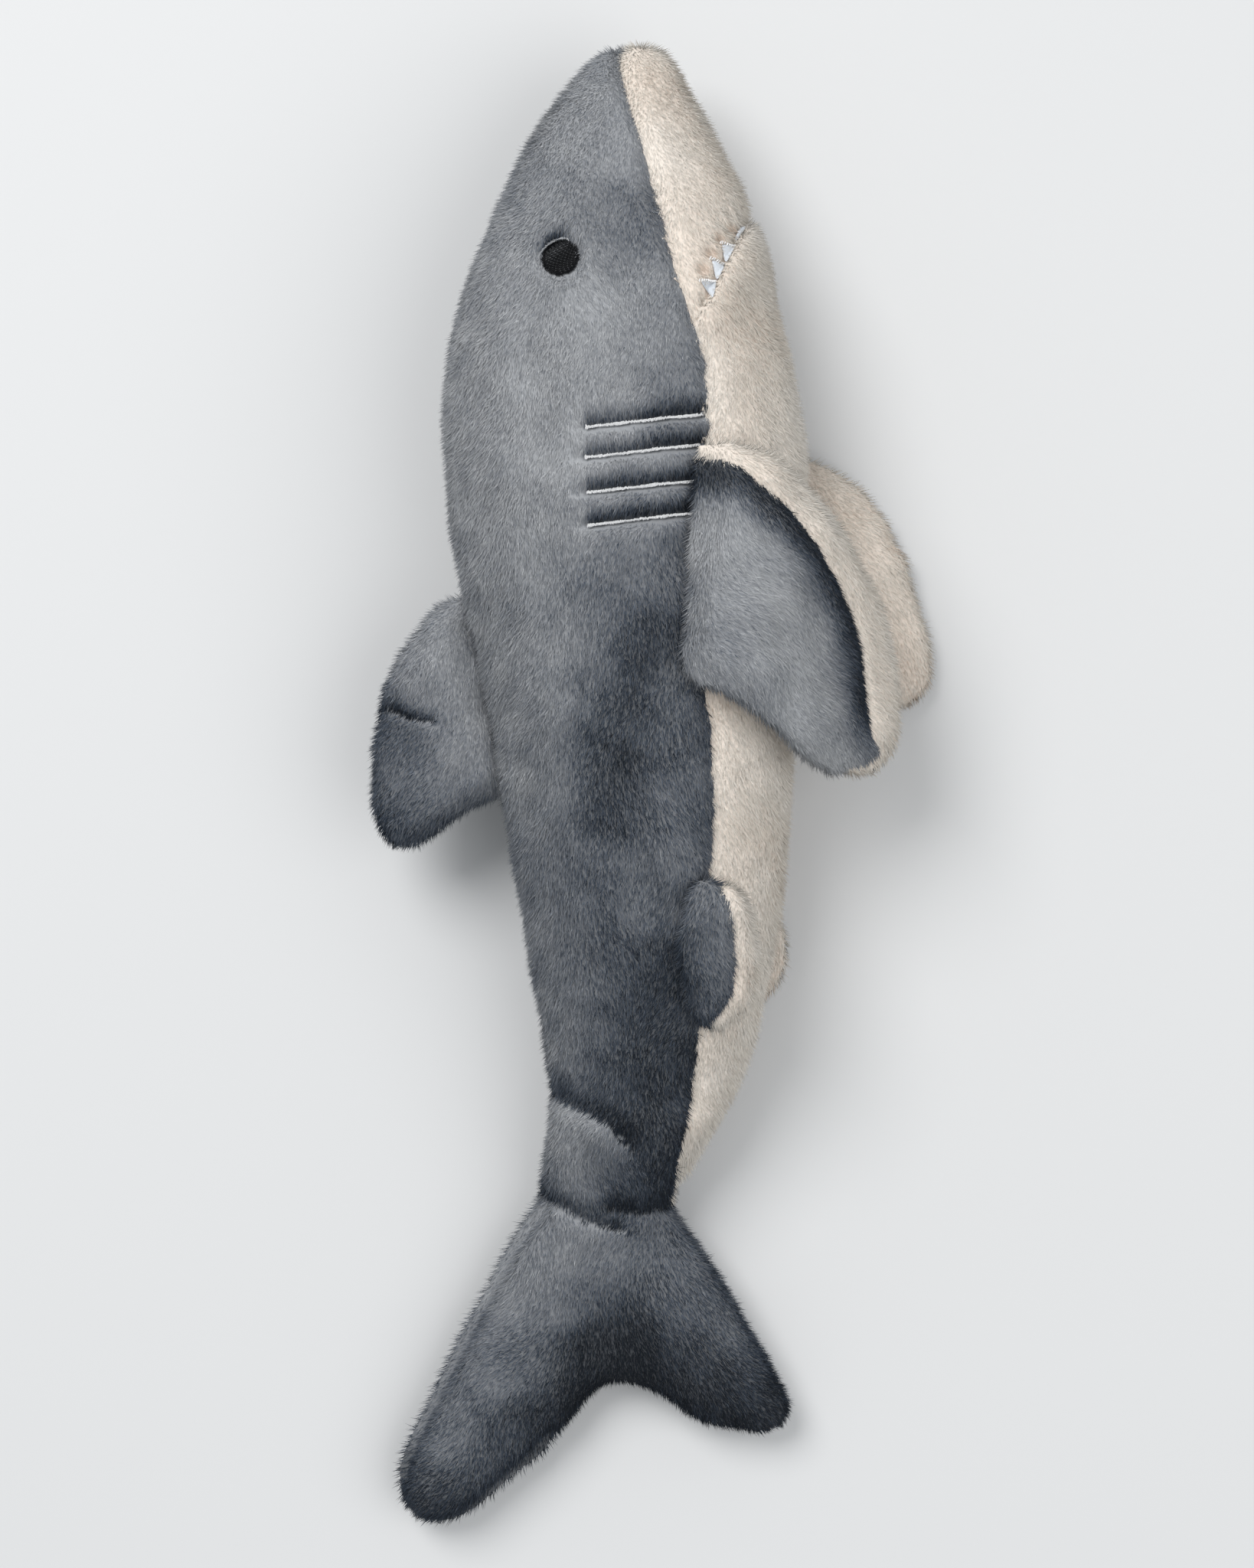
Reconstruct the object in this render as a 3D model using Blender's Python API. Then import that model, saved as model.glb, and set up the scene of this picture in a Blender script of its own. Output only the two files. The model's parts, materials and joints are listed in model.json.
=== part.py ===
"""A plush shark lying on its left side: pile fabric panels sewn round loose fibre filling.

+Z is up, +Y points to the nose and +X to the belly. The back is at -X, and the origin is on
the floor under the middle of the toy. Lengths in the tables are in millimetres.
"""

import math

import bmesh
import bpy
import numpy as np

MM = 0.001
ORIGIN = np.array((0.94, -3.35, 0.0))  # the middle of the toy, as the tables below count
FABRIC = 2.0  # a panel's backing and pile together
GAP = 0.3  # clearance between neighbouring pieces
FILL_INSET = FABRIC + GAP
BODY_FILL_INSET = FABRIC + 1.2  # the filling's facets are wider than the panels'
EDGE = 0.9  # half thickness where two panels meet
ROUNDNESS = 0.92  # power of the body's sections: 1 is an ellipse, less is squarer

STALK_JOINT = 19  # body station of the first tail fold
CAUDAL_JOINT = 21  # body station of the second tail fold
STALK_NOTCH = math.tan(math.radians(13))  # half of the first fold's open V
CAUDAL_NOTCH = math.tan(math.radians(16))
MOUTH_STATION = 7.55  # body station of the mouth's corners

MOUTH_CORNER = (15.1, 134.9)
MOUTH_SLOPE = math.radians(64)  # the mouth line's direction, from +X
THROAT_SLOPE = math.radians(-33)
JAW_OPENING = math.radians(13)
MOUTH_HINGE_HEIGHT = 36.0
LINING = 1.0

TOOTH_COUNT = 4
TOOTH_START = 1.8  # from the mouth's corner to the first tooth
TOOTH_PITCH = 5.3
TOOTH_LEAN = 0.35  # how far along its pitch a tooth's tip stands
TOOTH_REACH = 3.6  # over the upper lip
TOOTH_ROOT = 1.2  # onto the jaw
SATIN = 0.7

EYE_PLACE = (-26.1, 147.2)
EYE_RADII = (4.9, 5.2)
EYE_THICKNESS = 0.8
GILL_THICKNESS = 0.8
GILL_WIDTH = 1.0
GROOVE_DEPTH = 1.4
GROOVE_WIDTH = 1.8
GROOVE_END = 0.6  # how far a groove runs on past its stitch

CUT_REACH = 70.0  # how far a cutter reaches past the belly
CUT_HEIGHTS = (-10.0, 100.0)  # a cutter's lower and upper end
# each gill stitch: its back end and its belly end
GILLS = (
    ((-19.0, 98.4), (13.0, 102.5)),
    ((-19.0, 89.9), (12.2, 94.0)),
    ((-18.5, 80.3), (10.6, 83.6)),
    ((-18.1, 71.1), (10.4, 74.8)),
)

# Body stations from the nose to the tail: place along Y, back edge, belly edge, height of the
# middle, half thickness, and the grey and cream seam's place across the body
BODY = np.array(
    (
        (212.0, -12.5, -1.5, 33.0, 3.6, -9.4),
        (210.4, -17.2, 2.6, 33.0, 6.8, -10.6),
        (206.0, -22.0, 6.4, 33.4, 10.4, -10.4),
        (199.0, -27.2, 10.6, 33.9, 14.4, -9.0),
        (187.0, -35.2, 17.8, 34.4, 20.2, -5.6),
        (173.0, -42.8, 25.2, 35.0, 25.6, -1.8),
        (159.5, -49.1, 30.0, 35.6, 29.4, 1.6),
        (147.0, -53.5, 34.0, 36.0, 32.2, 4.4),
        (133.0, -57.6, 37.6, 36.3, 34.8, 8.2),
        (118.0, -60.6, 40.6, 36.5, 36.8, 12.4),
        (100.0, -61.4, 43.6, 36.6, 38.2, 13.9),
        (80.0, -59.9, 44.9, 36.6, 38.8, 12.4),
        (60.0, -56.6, 44.4, 36.2, 38.4, 10.6),
        (38.0, -51.9, 42.6, 35.4, 37.4, 11.0),
        (15.0, -47.4, 40.9, 34.0, 35.8, 15.6),
        (-8.0, -43.4, 39.6, 32.4, 33.8, 16.6),
        (-31.0, -39.7, 37.8, 30.2, 31.4, 15.4),
        (-53.0, -36.8, 34.8, 27.6, 28.8, 14.0),
        (-74.0, -33.0, 29.2, 24.6, 25.8, 12.6),
        (-95.0, -31.0, 21.2, 20.8, 22.0, 10.2),
        (-110.0, -33.2, 13.8, 17.2, 18.2, 8.0),
        (-124.0, -36.0, 7.0, 13.8, 14.6, 6.2),
    )
)

# Fin plans, in the plane they lie in: the leading edge and the trailing edge, root to tip
PECTORAL_RIGHT = (
    ((12.8, 94.6), (25.9, 93.6), (34.8, 88.6), (44.2, 81.2), (52.9, 70.8), (58.7, 60.7))
    + ((64.1, 49.8), (66.9, 38.7), (68.6, 26.8), (69.6, 16.3), (67.6, 8.4)),
    ((9.5, 29.9), (15.6, 25.8), (24.4, 21.1), (32.9, 15.1), (39.8, 9.0), (47.1, 4.3))
    + ((54.5, 2.2), (62.0, 3.4)),
)
PECTORAL_LEFT = (
    ((28.0, 96.4), (36.0, 98.4), (47.0, 96.6), (60.1, 89.3), (66.8, 81.6), (74.5, 68.2))
    + ((80.2, 47.9), (83.6, 35.4), (82.6, 28.6)),
    ((28.0, 36.0), (33.5, 33.2), (42.0, 29.0), (54.0, 24.5), (66.0, 22.0), (76.0, 22.4)),
)
DORSAL = (
    ((-56.4, 52.0), (-61.4, 49.6), (-68.0, 43.6), (-73.2, 37.0), (-76.8, 28.6))
    + ((-79.2, 18.0), (-80.6, 8.0), (-80.9, -1.0), (-80.4, -9.0), (-78.6, -15.4)),
    ((-44.6, -5.0), (-51.7, -7.4), (-57.4, -10.6), (-63.0, -14.6), (-69.0, -18.2))
    + ((-74.6, -18.6),),
)
PELVIC_RIGHT = (
    ((14.5, -27.0), (20.0, -27.2), (24.0, -30.0), (26.5, -36.0), (27.5, -43.0))
    + ((27.9, -51.0), (27.4, -58.5), (25.2, -65.0)),
    ((9.5, -45.0), (8.6, -50.0), (8.3, -56.0), (9.0, -62.0), (11.2, -66.6), (15.0, -69.2))
    + ((20.0, -69.2),),
)
PELVIC_LEFT = (
    ((23.2, -30.0), (28.8, -30.4), (34.5, -33.6), (38.5, -40.6), (39.9, -48.0))
    + ((39.7, -54.5), (37.8, -60.0)),
    ((22.3, -50.0), (22.8, -56.0), (24.8, -61.0), (28.6, -64.4), (33.6, -64.0)),
)
# The caudal fin's front edge, and its trailing edge from the long lobe over the notch
CAUDAL_FRONT = ((-36.0, -124.0), (7.0, -124.0))
CAUDAL_TRAIL = (
    (-75.4, -203.0),
    (-75.0, -211.4),
    (-70.4, -217.0),
    (-61.0, -218.7),
    (-55.0, -217.0),
    (-46.6, -210.0),
    (-36.9, -201.3),
    (-28.4, -193.0),
    (-21.3, -184.1),
    (-17.0, -178.4),
    (-11.8, -175.6),
    (-4.0, -178.4),
    (8.1, -184.1),
    (20.2, -189.4),
    (30.4, -192.4),
    (37.2, -189.0),
    (39.4, -181.4),
)

CAUDAL_HALF_THICKNESS = 14.6
CAUDAL_THINNING = 3.4  # towards the trailing edge
CAUDAL_ROLL = 21.5  # how far in from its edge the tail fin is round
CAUDAL_ROLL_THINNING = 6.5
CAUDAL_LEAN = 5.0  # the front's lean runs out within a fifth of the fin's depth

DORSAL_HEIGHT = 34.5
DORSAL_DROOP = 0.14  # fall per length from the root

# Height of a fin's middle surface at places across the body
PECTORAL_RIGHT_HEIGHT = (
    (9.0, 20.0, 30.0, 40.0, 50.0, 60.0, 70.0),
    (77.0, 77.2, 74.2, 67.2, 57.4, 48.0, 39.6),
)
PECTORAL_LEFT_HEIGHT = ((26.0, 33.0, 42.0), (2.4, 4.0, 6.0))
PELVIC_LEFT_HEIGHT = ((22.0, 32.0), (1.9, 3.8))
PELVIC_RIGHT_CLEARANCE = 1.5  # between the rear fin and the flank that it lies on

STALK_HINGE = (0.0, -95.0, 20.8)
CAUDAL_HINGE = (0.0, -124.0, 13.8)
DORSAL_HINGE = (-54.8, 22.6, 33.9)
PECTORAL_RIGHT_HINGE = (14.15, 62.1, 77.0)
PECTORAL_LEFT_HINGE = (29.8, 66.5, 2.8)
PELVIC_RIGHT_HINGE = (14.3, -36.6, 62.5)
PELVIC_LEFT_HINGE = (24.2, -40.0, 2.3)

GREY = ("grey", "grey_plush")
CREAM = ("cream", "cream_plush")
COLOURS = {
    "grey_plush": (0.19, 0.21, 0.23),
    "cream_plush": (0.71, 0.63, 0.54),
    "white_satin": (0.86, 0.86, 0.84),
    "white_thread": (0.83, 0.83, 0.82),
    "black_thread": (0.012, 0.012, 0.014),
    "lining": (0.62, 0.50, 0.45),
    "fibre_fill": (0.82, 0.82, 0.80),
}


def material(name):
    """The named finish, made once."""
    found = bpy.data.materials.get(name)
    if found:
        return found
    made = bpy.data.materials.new(name)
    made.use_nodes = True
    shader = made.node_tree.nodes["Principled BSDF"]
    shader.inputs["Base Color"].default_value = (*COLOURS[name], 1)
    shader.inputs["Roughness"].default_value = 0.45 if "satin" in name else 0.9
    return made


def pivot(name, place):
    """The empty on a joint's axis that the joint's pieces are parented to."""
    empty = bpy.data.objects.new(name, None)
    empty.location = (np.array(place) - ORIGIN) * MM
    bpy.context.scene.collection.objects.link(empty)
    return empty


def solid(name, points, faces, finish, parent):
    """An object from points in millimetres and faces, with its faces turned outwards."""
    mesh = bpy.data.meshes.new(name)
    shape = bmesh.new()
    corners = [shape.verts.new((point - ORIGIN) * MM) for point in points]
    for face in faces:
        shape.faces.new([corners[i] for i in face])
    bmesh.ops.recalc_face_normals(shape, faces=shape.faces)
    if shape.calc_volume(signed=True) < 0:
        bmesh.ops.reverse_faces(shape, faces=shape.faces)
    shape.to_mesh(mesh)
    shape.free()
    mesh.shade_smooth()
    mesh.set_sharp_from_angle(angle=math.radians(50))
    mesh.materials.append(material(finish))
    made = bpy.data.objects.new(name, mesh)
    bpy.context.scene.collection.objects.link(made)
    if parent:
        made.parent = parent
        for vertex in mesh.vertices:
            vertex.co -= parent.location
    return made


def sheet_faces(rows, columns, start, around):
    """The triangles of a grid of points, whose last column meets the first if it goes around.

    Every cell is split the same way, so that layers over each other keep their clearance.
    """
    faces = []
    for i in range(rows - 1):
        for j in range(columns if around else columns - 1):
            k = (j + 1) % columns
            near = start + i * columns
            far = near + columns
            faces.append([near + j, near + k, far + k])
            faces.append([near + j, far + k, far + j])
    return faces


def slab(name, outer, inner, finish, parent=None):
    """A panel between two grids of the same size, closed along its four edges."""
    rows, columns = outer.shape[:2]
    count = rows * columns
    faces = sheet_faces(rows, columns, 0, False)
    faces += [face[::-1] for face in sheet_faces(rows, columns, count, False)]
    rim = [j for j in range(columns)]
    rim += [i * columns + columns - 1 for i in range(1, rows)]
    rim += [(rows - 1) * columns + j for j in range(columns - 2, -1, -1)]
    rim += [i * columns for i in range(rows - 2, 0, -1)]
    for a, b in zip(rim, rim[1:] + rim[:1]):
        faces.append([b, a, a + count, b + count])
    points = np.concatenate([outer.reshape(-1, 3), inner.reshape(-1, 3)])
    return solid(name, points, faces, finish, parent)


def tube(name, rings, finish, parent=None):
    """A closed body through rings of points, with a flat cap on each end."""
    rows, columns = rings.shape[:2]
    faces = sheet_faces(rows, columns, 0, True)
    faces.append(list(range(columns))[::-1])
    faces.append([(rows - 1) * columns + j for j in range(columns)])
    return solid(name, rings.reshape(-1, 3), faces, finish, parent)


def curve_at(points, places):
    """Points on a smooth curve through the given ones, at places counted in their index."""
    points = np.asarray(points, float)
    slopes = np.gradient(points, axis=0)
    places = np.clip(np.asarray(places, float), 0, len(points) - 1)
    low = np.minimum(places.astype(int), len(points) - 2)
    t = (places - low)[..., None]
    rise = points[low + 1] - points[low]
    bend_low = slopes[low] - rise
    bend_high = slopes[low + 1] - rise
    return points[low] + t * rise + t * (1 - t) * ((1 - t) * bend_low - t * bend_high)


def along(points, count):
    """That many points on the smooth curve, evenly spread over its length."""
    fine = curve_at(points, np.linspace(0, len(points) - 1, 40 * len(points)))
    steps = np.linalg.norm(np.diff(fine, axis=0), axis=1)
    length = np.concatenate([[0], np.cumsum(steps)])
    wanted = np.linspace(0, length[-1], count)
    return np.stack([np.interp(wanted, length, column) for column in fine.T], axis=-1)


def powered(value):
    """A cosine or sine squared off a little, which makes a plump section."""
    return math.copysign(abs(value) ** ROUNDNESS, value)


def body_point(station, angle, inset, shift=0.0):
    """A point of the body's skin, or of a layer under it. Angle 0 is the belly, 90 the top."""
    y, back, belly, middle, half, _ = curve_at(BODY, station)
    reach = (belly - back) / 2 - inset
    x = (belly + back) / 2 + reach * powered(math.cos(angle))
    z = middle + (half - inset) * powered(math.sin(angle))
    return np.array((x, y + shift * max(0.0, z - middle), max(z, inset)))


def seam_angle(station):
    """The angle of the grey and cream seam."""
    _, back, belly, _, _, seam = curve_at(BODY, station)
    share = (seam - (belly + back) / 2) / ((belly - back) / 2)
    return math.acos(min(0.985, share) ** (1 / ROUNDNESS) if share > 0 else share)


def clear_angle(station):
    """Half of the clearance between two panels, as an angle."""
    _, _, _, _, half, _ = curve_at(BODY, station)
    return GAP / 2 / (half - FABRIC)


def station_at(y):
    """The body station at a place along Y."""
    places = np.linspace(0, len(BODY) - 1, 600)
    ys = curve_at(BODY, places)[:, 0]
    return float(np.interp(-y, -ys, places))


def skin_point(x, y, side, lift):
    """A point above the body's skin: side is 1 on the right flank, -1 on the left."""
    station = station_at(y)
    _, back, belly, middle, half, _ = curve_at(BODY, station)
    share = (x - (belly + back) / 2) / ((belly - back) / 2)
    share = math.copysign(min(abs(share), 1.0) ** (1 / ROUNDNESS), share)
    height = half * powered(math.sin(math.acos(share)))
    return np.array((x, y, max(middle + side * height, 0.0) + side * lift))


def fold_shift(stations, place, slope):
    """How far each row leans, so that the row on a fold stands back above the joint's axis."""
    return [slope * max(0.0, 1 - 1.5 * abs(s - place)) for s in stations]


def body_grid(stations, low, high, columns, inset, shifts):
    """Rows of skin points between two angles, which are functions of the station."""
    rows = []
    for station, shift in zip(stations, shifts):
        angles = np.linspace(low(station), high(station), columns)
        rows.append([body_point(station, a, inset, shift) for a in angles])
    return np.array(rows)


def body_panel(name, stations, sector, columns, finish, shifts, parent=None):
    """A fabric panel over a sector of the body."""
    outer = body_grid(stations, *sector, columns, 0.0, shifts)
    inner = body_grid(stations, *sector, columns, FABRIC, shifts)
    return slab(name, outer, inner, finish, parent)


def right_flank():
    """From the seam over the top to the back."""
    return (
        lambda s: seam_angle(s) + clear_angle(s),
        lambda s: math.pi - clear_angle(s),
    )


def left_flank():
    """From the back under the body to the lower seam."""
    return (
        lambda s: math.pi + clear_angle(s),
        lambda s: 2 * math.pi - seam_angle(s) - clear_angle(s),
    )


def belly():
    """From the lower seam round the belly to the upper seam."""
    return (
        lambda s: clear_angle(s) - seam_angle(s),
        lambda s: seam_angle(s) - clear_angle(s),
    )


def body_filling(name, stations, columns, shifts, parent=None):
    """The fibre filling inside a stretch of the body."""
    step = 2 * math.pi / columns
    rings = []
    for station, shift in zip(stations, shifts):
        angles = [step * j for j in range(columns)]
        rings.append([body_point(station, a, BODY_FILL_INSET, shift) for a in angles])
    return tube(name, np.array(rings), "fibre_fill", parent)


def cut(target, *cutters):
    """Takes the cutters' shapes out of the target for good."""
    for cutter in cutters:
        modifier = target.modifiers.new("cut", "BOOLEAN")
        modifier.operation = "DIFFERENCE"
        modifier.object = cutter


def keep_inside(target, cutter):
    """Keeps only what the target shares with the cutter."""
    modifier = target.modifiers.new("keep", "BOOLEAN")
    modifier.operation = "INTERSECT"
    modifier.object = cutter


def guide(made):
    """Marks an object as a cutter, which isn't part of the toy."""
    made.hide_render = True
    made.display_type = "WIRE"
    return made


def mouth_wedge(name, start, mouth_turn, throat_turn, back_off):
    """A tall wedge from near the mouth's corner, between the mouth line and the throat line."""
    middle = (MOUTH_SLOPE + THROAT_SLOPE) / 2
    apex = np.array(MOUTH_CORNER) + start * np.array((math.cos(middle), math.sin(middle)))
    plan = [apex]
    for slope in (THROAT_SLOPE + throat_turn, middle, MOUTH_SLOPE + mouth_turn):
        plan.append(apex + CUT_REACH * np.array((math.cos(slope), math.sin(slope))))
    across = np.array((math.sin(MOUTH_SLOPE), -math.cos(MOUTH_SLOPE)))
    plan = [point + back_off * across for point in plan]
    rings = np.array([[(*point, z) for point in plan] for z in CUT_HEIGHTS])
    return guide(tube(name, rings, "fibre_fill"))


def mouth_sheet(name, near, far):
    """A tall thin box along the mouth line, between two distances from it."""
    ahead = np.array((math.cos(MOUTH_SLOPE), math.sin(MOUTH_SLOPE)))
    across = np.array((math.sin(MOUTH_SLOPE), -math.cos(MOUTH_SLOPE)))
    corner = np.array(MOUTH_CORNER)
    plan = []
    start = 2.5
    for step, off in ((start, near), (start, far), (CUT_REACH, far), (CUT_REACH, near)):
        plan.append(corner + step * ahead + off * across)
    rings = np.array([[(*point, z) for point in plan] for z in CUT_HEIGHTS])
    return guide(tube(name, rings, "fibre_fill"))


def strip_on_skin(name, ends, side, width, low, high, finish, count):
    """A narrow strip along the skin between two points, from one lift to another."""
    (x0, y0), (x1, y1) = ends
    direction = np.array((x1 - x0, y1 - y0)) / math.hypot(x1 - x0, y1 - y0)
    across = np.array((-direction[1], direction[0])) * width / 2
    grids = []
    for lift in (high, low):
        rows = []
        for share in np.linspace(0, 1, count):
            middle = np.array((x0, y0)) + share * np.array((x1 - x0, y1 - y0))
            pair = (middle - across, middle + across)
            rows.append([skin_point(*point, side, lift) for point in pair])
        grids.append(np.array(rows))
    return slab(name, *grids, finish)


def gill_stitches(side, panel, side_name):
    """Four stitched lines, each lying in its groove of the flank panel."""
    for number, ends in enumerate(GILLS, 1):
        (x0, y0), (x1, y1) = ends
        ends_of_groove = ((x0 - GROOVE_END, y0), (x1 + GROOVE_END, y1))
        name = f"gill_groove_{side_name}_{number}"
        groove = strip_on_skin(
            name, ends_of_groove, side, GROOVE_WIDTH, -GROOVE_DEPTH, 3.0, "lining", 8
        )
        cut(panel, guide(groove))
        low = GAP - GROOVE_DEPTH
        name = f"gill_stitch_{side_name}_{number}"
        high = low + GILL_THICKNESS
        strip_on_skin(name, ends, side, GILL_WIDTH, low, high, "white_thread", 7)


def eye(side, name):
    """An embroidered disc that follows the skin of the head."""
    rings = 4
    around = 20
    layers = []
    for lift in (GAP + EYE_THICKNESS, GAP):
        rows = []
        for ring in range(1, rings + 1):
            share = ring / rings
            row = []
            for turn in range(around):
                angle = 2 * math.pi * turn / around
                x = EYE_PLACE[0] + share * EYE_RADII[0] * math.cos(angle)
                y = EYE_PLACE[1] + share * EYE_RADII[1] * math.sin(angle)
                row.append(skin_point(x, y, side, lift))
            rows.append(row)
        layers.append(rows)
    top, bottom = layers
    return tube(name, np.array(top + bottom[::-1]), "black_thread")


def tooth_band(side, name, parent):
    """Satin teeth on one band, which lie from the jaw's edge over the upper lip."""
    ahead = np.array((math.cos(MOUTH_SLOPE), math.sin(MOUTH_SLOPE)))
    across = np.array((math.sin(MOUTH_SLOPE), -math.cos(MOUTH_SLOPE)))
    plan = []
    for tooth in range(TOOTH_COUNT):
        start = TOOTH_START + TOOTH_PITCH * tooth
        plan.append((start, 0.0))
        plan.append((start + TOOTH_LEAN * TOOTH_PITCH, -TOOTH_REACH))
    plan.append((TOOTH_START + TOOTH_PITCH * TOOTH_COUNT, 0.0))
    outline = plan + [(step, TOOTH_ROOT) for step, _ in plan[::-1]]
    points = []
    for lift in (GAP + SATIN, GAP):
        for step, off in outline:
            x, y = np.array(MOUTH_CORNER) + step * ahead + off * across
            points.append(skin_point(x, y, side, lift))
    points = np.array(points)
    count = len(outline)
    half = count // 2
    faces = []
    for layer in (0, count):
        for i in range(half - 1):
            face = [i, i + 1, count - 2 - i, count - 1 - i]
            faces.append([layer + corner for corner in face])
    for i in range(count):
        k = (i + 1) % count
        faces.append([i, k, k + count, i + count])
    return solid(name, points, faces, "white_satin", parent)


def plan_grid(edges, rows, columns):
    """A grid of plan points between a leading and a trailing edge, from root to tip."""
    lead, trail = (along(edge, rows) for edge in edges)
    share = np.linspace(0, 1, columns)[None, :, None]
    return lead[:, None] * (1 - share) + trail[:, None] * share


def distance_to(points, line):
    """Each plan point's distance to a broken line."""
    best = np.full(points.shape[:-1], np.inf)
    for a, b in zip(line[:-1], line[1:]):
        step = b - a
        share = np.clip(((points - a) @ step) / (step @ step), 0, 1)
        gaps = points - (a + share[..., None] * step)
        best = np.minimum(best, np.linalg.norm(gaps, axis=-1))
    return best


def swelling(share):
    """The round rise of a stuffed shape from its edge, 0 to 1."""
    return np.sqrt(1 - (1 - np.clip(share, 0, 1)) ** 2)


def fin_thickness(grid, full, roll, root, root_blend):
    """Half thickness over a fin's grid: round at the free edges, thin and round at the root."""
    free = np.concatenate([grid[:, 0], grid[-1, 1:-1], grid[::-1, -1]])
    edge = distance_to(grid, free)
    base = distance_to(grid, grid[0])
    body = root + (full - root) * swelling(base / root_blend)
    return np.maximum(EDGE, np.minimum(full * swelling(edge / roll), body))


def normals_of(surface):
    """Unit normals of a grid of points, pointing up."""
    first = np.gradient(surface, axis=0)
    second = np.gradient(surface, axis=1)
    normal = np.cross(first, second)
    normal *= np.sign(normal[..., 2:3])
    return normal / np.linalg.norm(normal, axis=-1, keepdims=True)


def hollow_thickness(thick):
    """Half thickness of the hollow between two panels, which meet at their edges."""
    hollow = np.full_like(thick, GAP / 2)
    hollow[1:-1, 1:-1] = np.maximum(thick[1:-1, 1:-1] - FABRIC, 2 * GAP)
    return hollow


def fin(name, surface, thick, upper, lower, parent, floor=False):
    """A fin's upper and lower panels and its filling, round a middle surface.

    upper and lower are each a panel's name and finish.
    """
    normal = normals_of(surface)
    thick[0] = EDGE
    for side, (part, finish) in ((1, upper), (-1, lower)):
        outer = surface + side * normal * thick[..., None]
        inner = surface + side * normal * hollow_thickness(thick)[..., None]
        if floor:
            outer[..., 2] = np.maximum(outer[..., 2], 0.0)
            inner[..., 2] = np.maximum(inner[..., 2], 0.6)
        slab(f"{name}_panel_{part}", outer, inner, finish, parent)
    inside = (slice(1, -1), slice(1, -1))
    core = surface[inside]
    core_thick = np.maximum(thick[inside] - FILL_INSET, GAP)
    above = core + normal[inside] * core_thick[..., None]
    below = core - normal[inside] * core_thick[..., None]
    slab(f"{name}_filling", above, below, "fibre_fill", parent)


def lifted(grid, height):
    """A grid of plan points raised to a height, a number for each."""
    return np.concatenate([grid, np.broadcast_to(height, grid.shape[:2])[..., None]], axis=-1)


def height_over(grid, places, heights):
    """A height that changes with the place across the body."""
    return np.interp(grid[..., 0], places, heights)


def torso():
    """The head and trunk, from the nose to the first tail fold."""
    stations = np.linspace(0, STALK_JOINT, 37)
    clear = GAP / 2 / 20
    stations[-1] = STALK_JOINT - clear
    shifts = fold_shift(stations, STALK_JOINT, STALK_NOTCH)
    right = body_panel("flank_panel_right", stations, right_flank(), 9, "grey_plush", shifts)
    left = body_panel("flank_panel_left", stations, left_flank(), 9, "grey_plush", shifts)
    gill_stitches(1, right, "right")
    gill_stitches(-1, left, "left")
    eye(1, "eye_right")
    eye(-1, "eye_left")

    opening = mouth_wedge("jaw_opening", -0.4, 0.0, -JAW_OPENING, -GAP / 2)
    snout_stations = np.append(stations[stations < MOUTH_STATION - 0.2], MOUTH_STATION)
    belly_stations = np.insert(stations[stations > MOUTH_STATION + 0.2], 0, MOUTH_STATION)
    snout_stations[-1] -= clear
    belly_stations[0] += clear
    flat = [0.0] * len(snout_stations)
    snout = body_panel("snout_panel", snout_stations, belly(), 11, "cream_plush", flat)
    shifts_belly = fold_shift(belly_stations, STALK_JOINT, STALK_NOTCH)
    under = body_panel(
        "belly_panel", belly_stations, belly(), 13, "cream_plush", shifts_belly
    )
    cut(snout, opening)
    cut(under, opening)
    filling = body_filling("torso_filling", stations, 18, shifts)
    deep = mouth_wedge("filling_opening", -2.0, 0.0, -JAW_OPENING, -GAP * 1.5 - LINING)
    cut(filling, deep)

    lining = body_filling("mouth_lining_upper", stations[8:22], 18, [0.0] * 14)
    keep_inside(lining, mouth_sheet("upper_lining_place", -GAP / 2 - LINING, -GAP / 2))
    lining.data.materials[0] = material("lining")


def jaw(hinge):
    """The lower jaw, which turns about the corner of the mouth."""
    stations = np.linspace(4, 11, 15)
    flat = [0.0] * len(stations)
    place = mouth_wedge("jaw_place", 0.9, 0.0, 0.0, GAP / 2)
    panel = body_panel("jaw_panel", stations, belly(), 13, "cream_plush", flat, hinge)
    keep_inside(panel, place)
    deep = mouth_wedge("jaw_filling_place", 2.6, 0.0, 0.0, GAP * 1.5 + LINING)
    filling = body_filling("jaw_filling", stations, 18, flat, hinge)
    keep_inside(filling, deep)
    lining = body_filling("mouth_lining_lower", stations, 18, flat, hinge)
    keep_inside(lining, mouth_sheet("lower_lining_place", GAP / 2, GAP / 2 + LINING))
    lining.data.materials[0] = material("lining")
    tooth_band(1, "tooth_band_right", hinge)
    tooth_band(-1, "tooth_band_left", hinge)


def tail_stalk(hinge):
    """The narrow part of the tail, between the two folds."""
    clear = GAP / 2 / 15
    stations = np.linspace(STALK_JOINT, CAUDAL_JOINT, 7)
    stations[0] += clear
    stations[-1] -= clear
    shifts = fold_shift(stations, STALK_JOINT, -STALK_NOTCH)
    back = fold_shift(stations, CAUDAL_JOINT, CAUDAL_NOTCH)
    shifts = [a + b for a, b in zip(shifts, back)]
    body_panel("stalk_panel_right", stations, right_flank(), 8, "grey_plush", shifts, hinge)
    body_panel("stalk_panel_left", stations, left_flank(), 8, "grey_plush", shifts, hinge)
    body_panel("stalk_panel_belly", stations, belly(), 5, "cream_plush", shifts, hinge)
    body_filling("stalk_filling", stations, 16, shifts, hinge)


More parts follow.
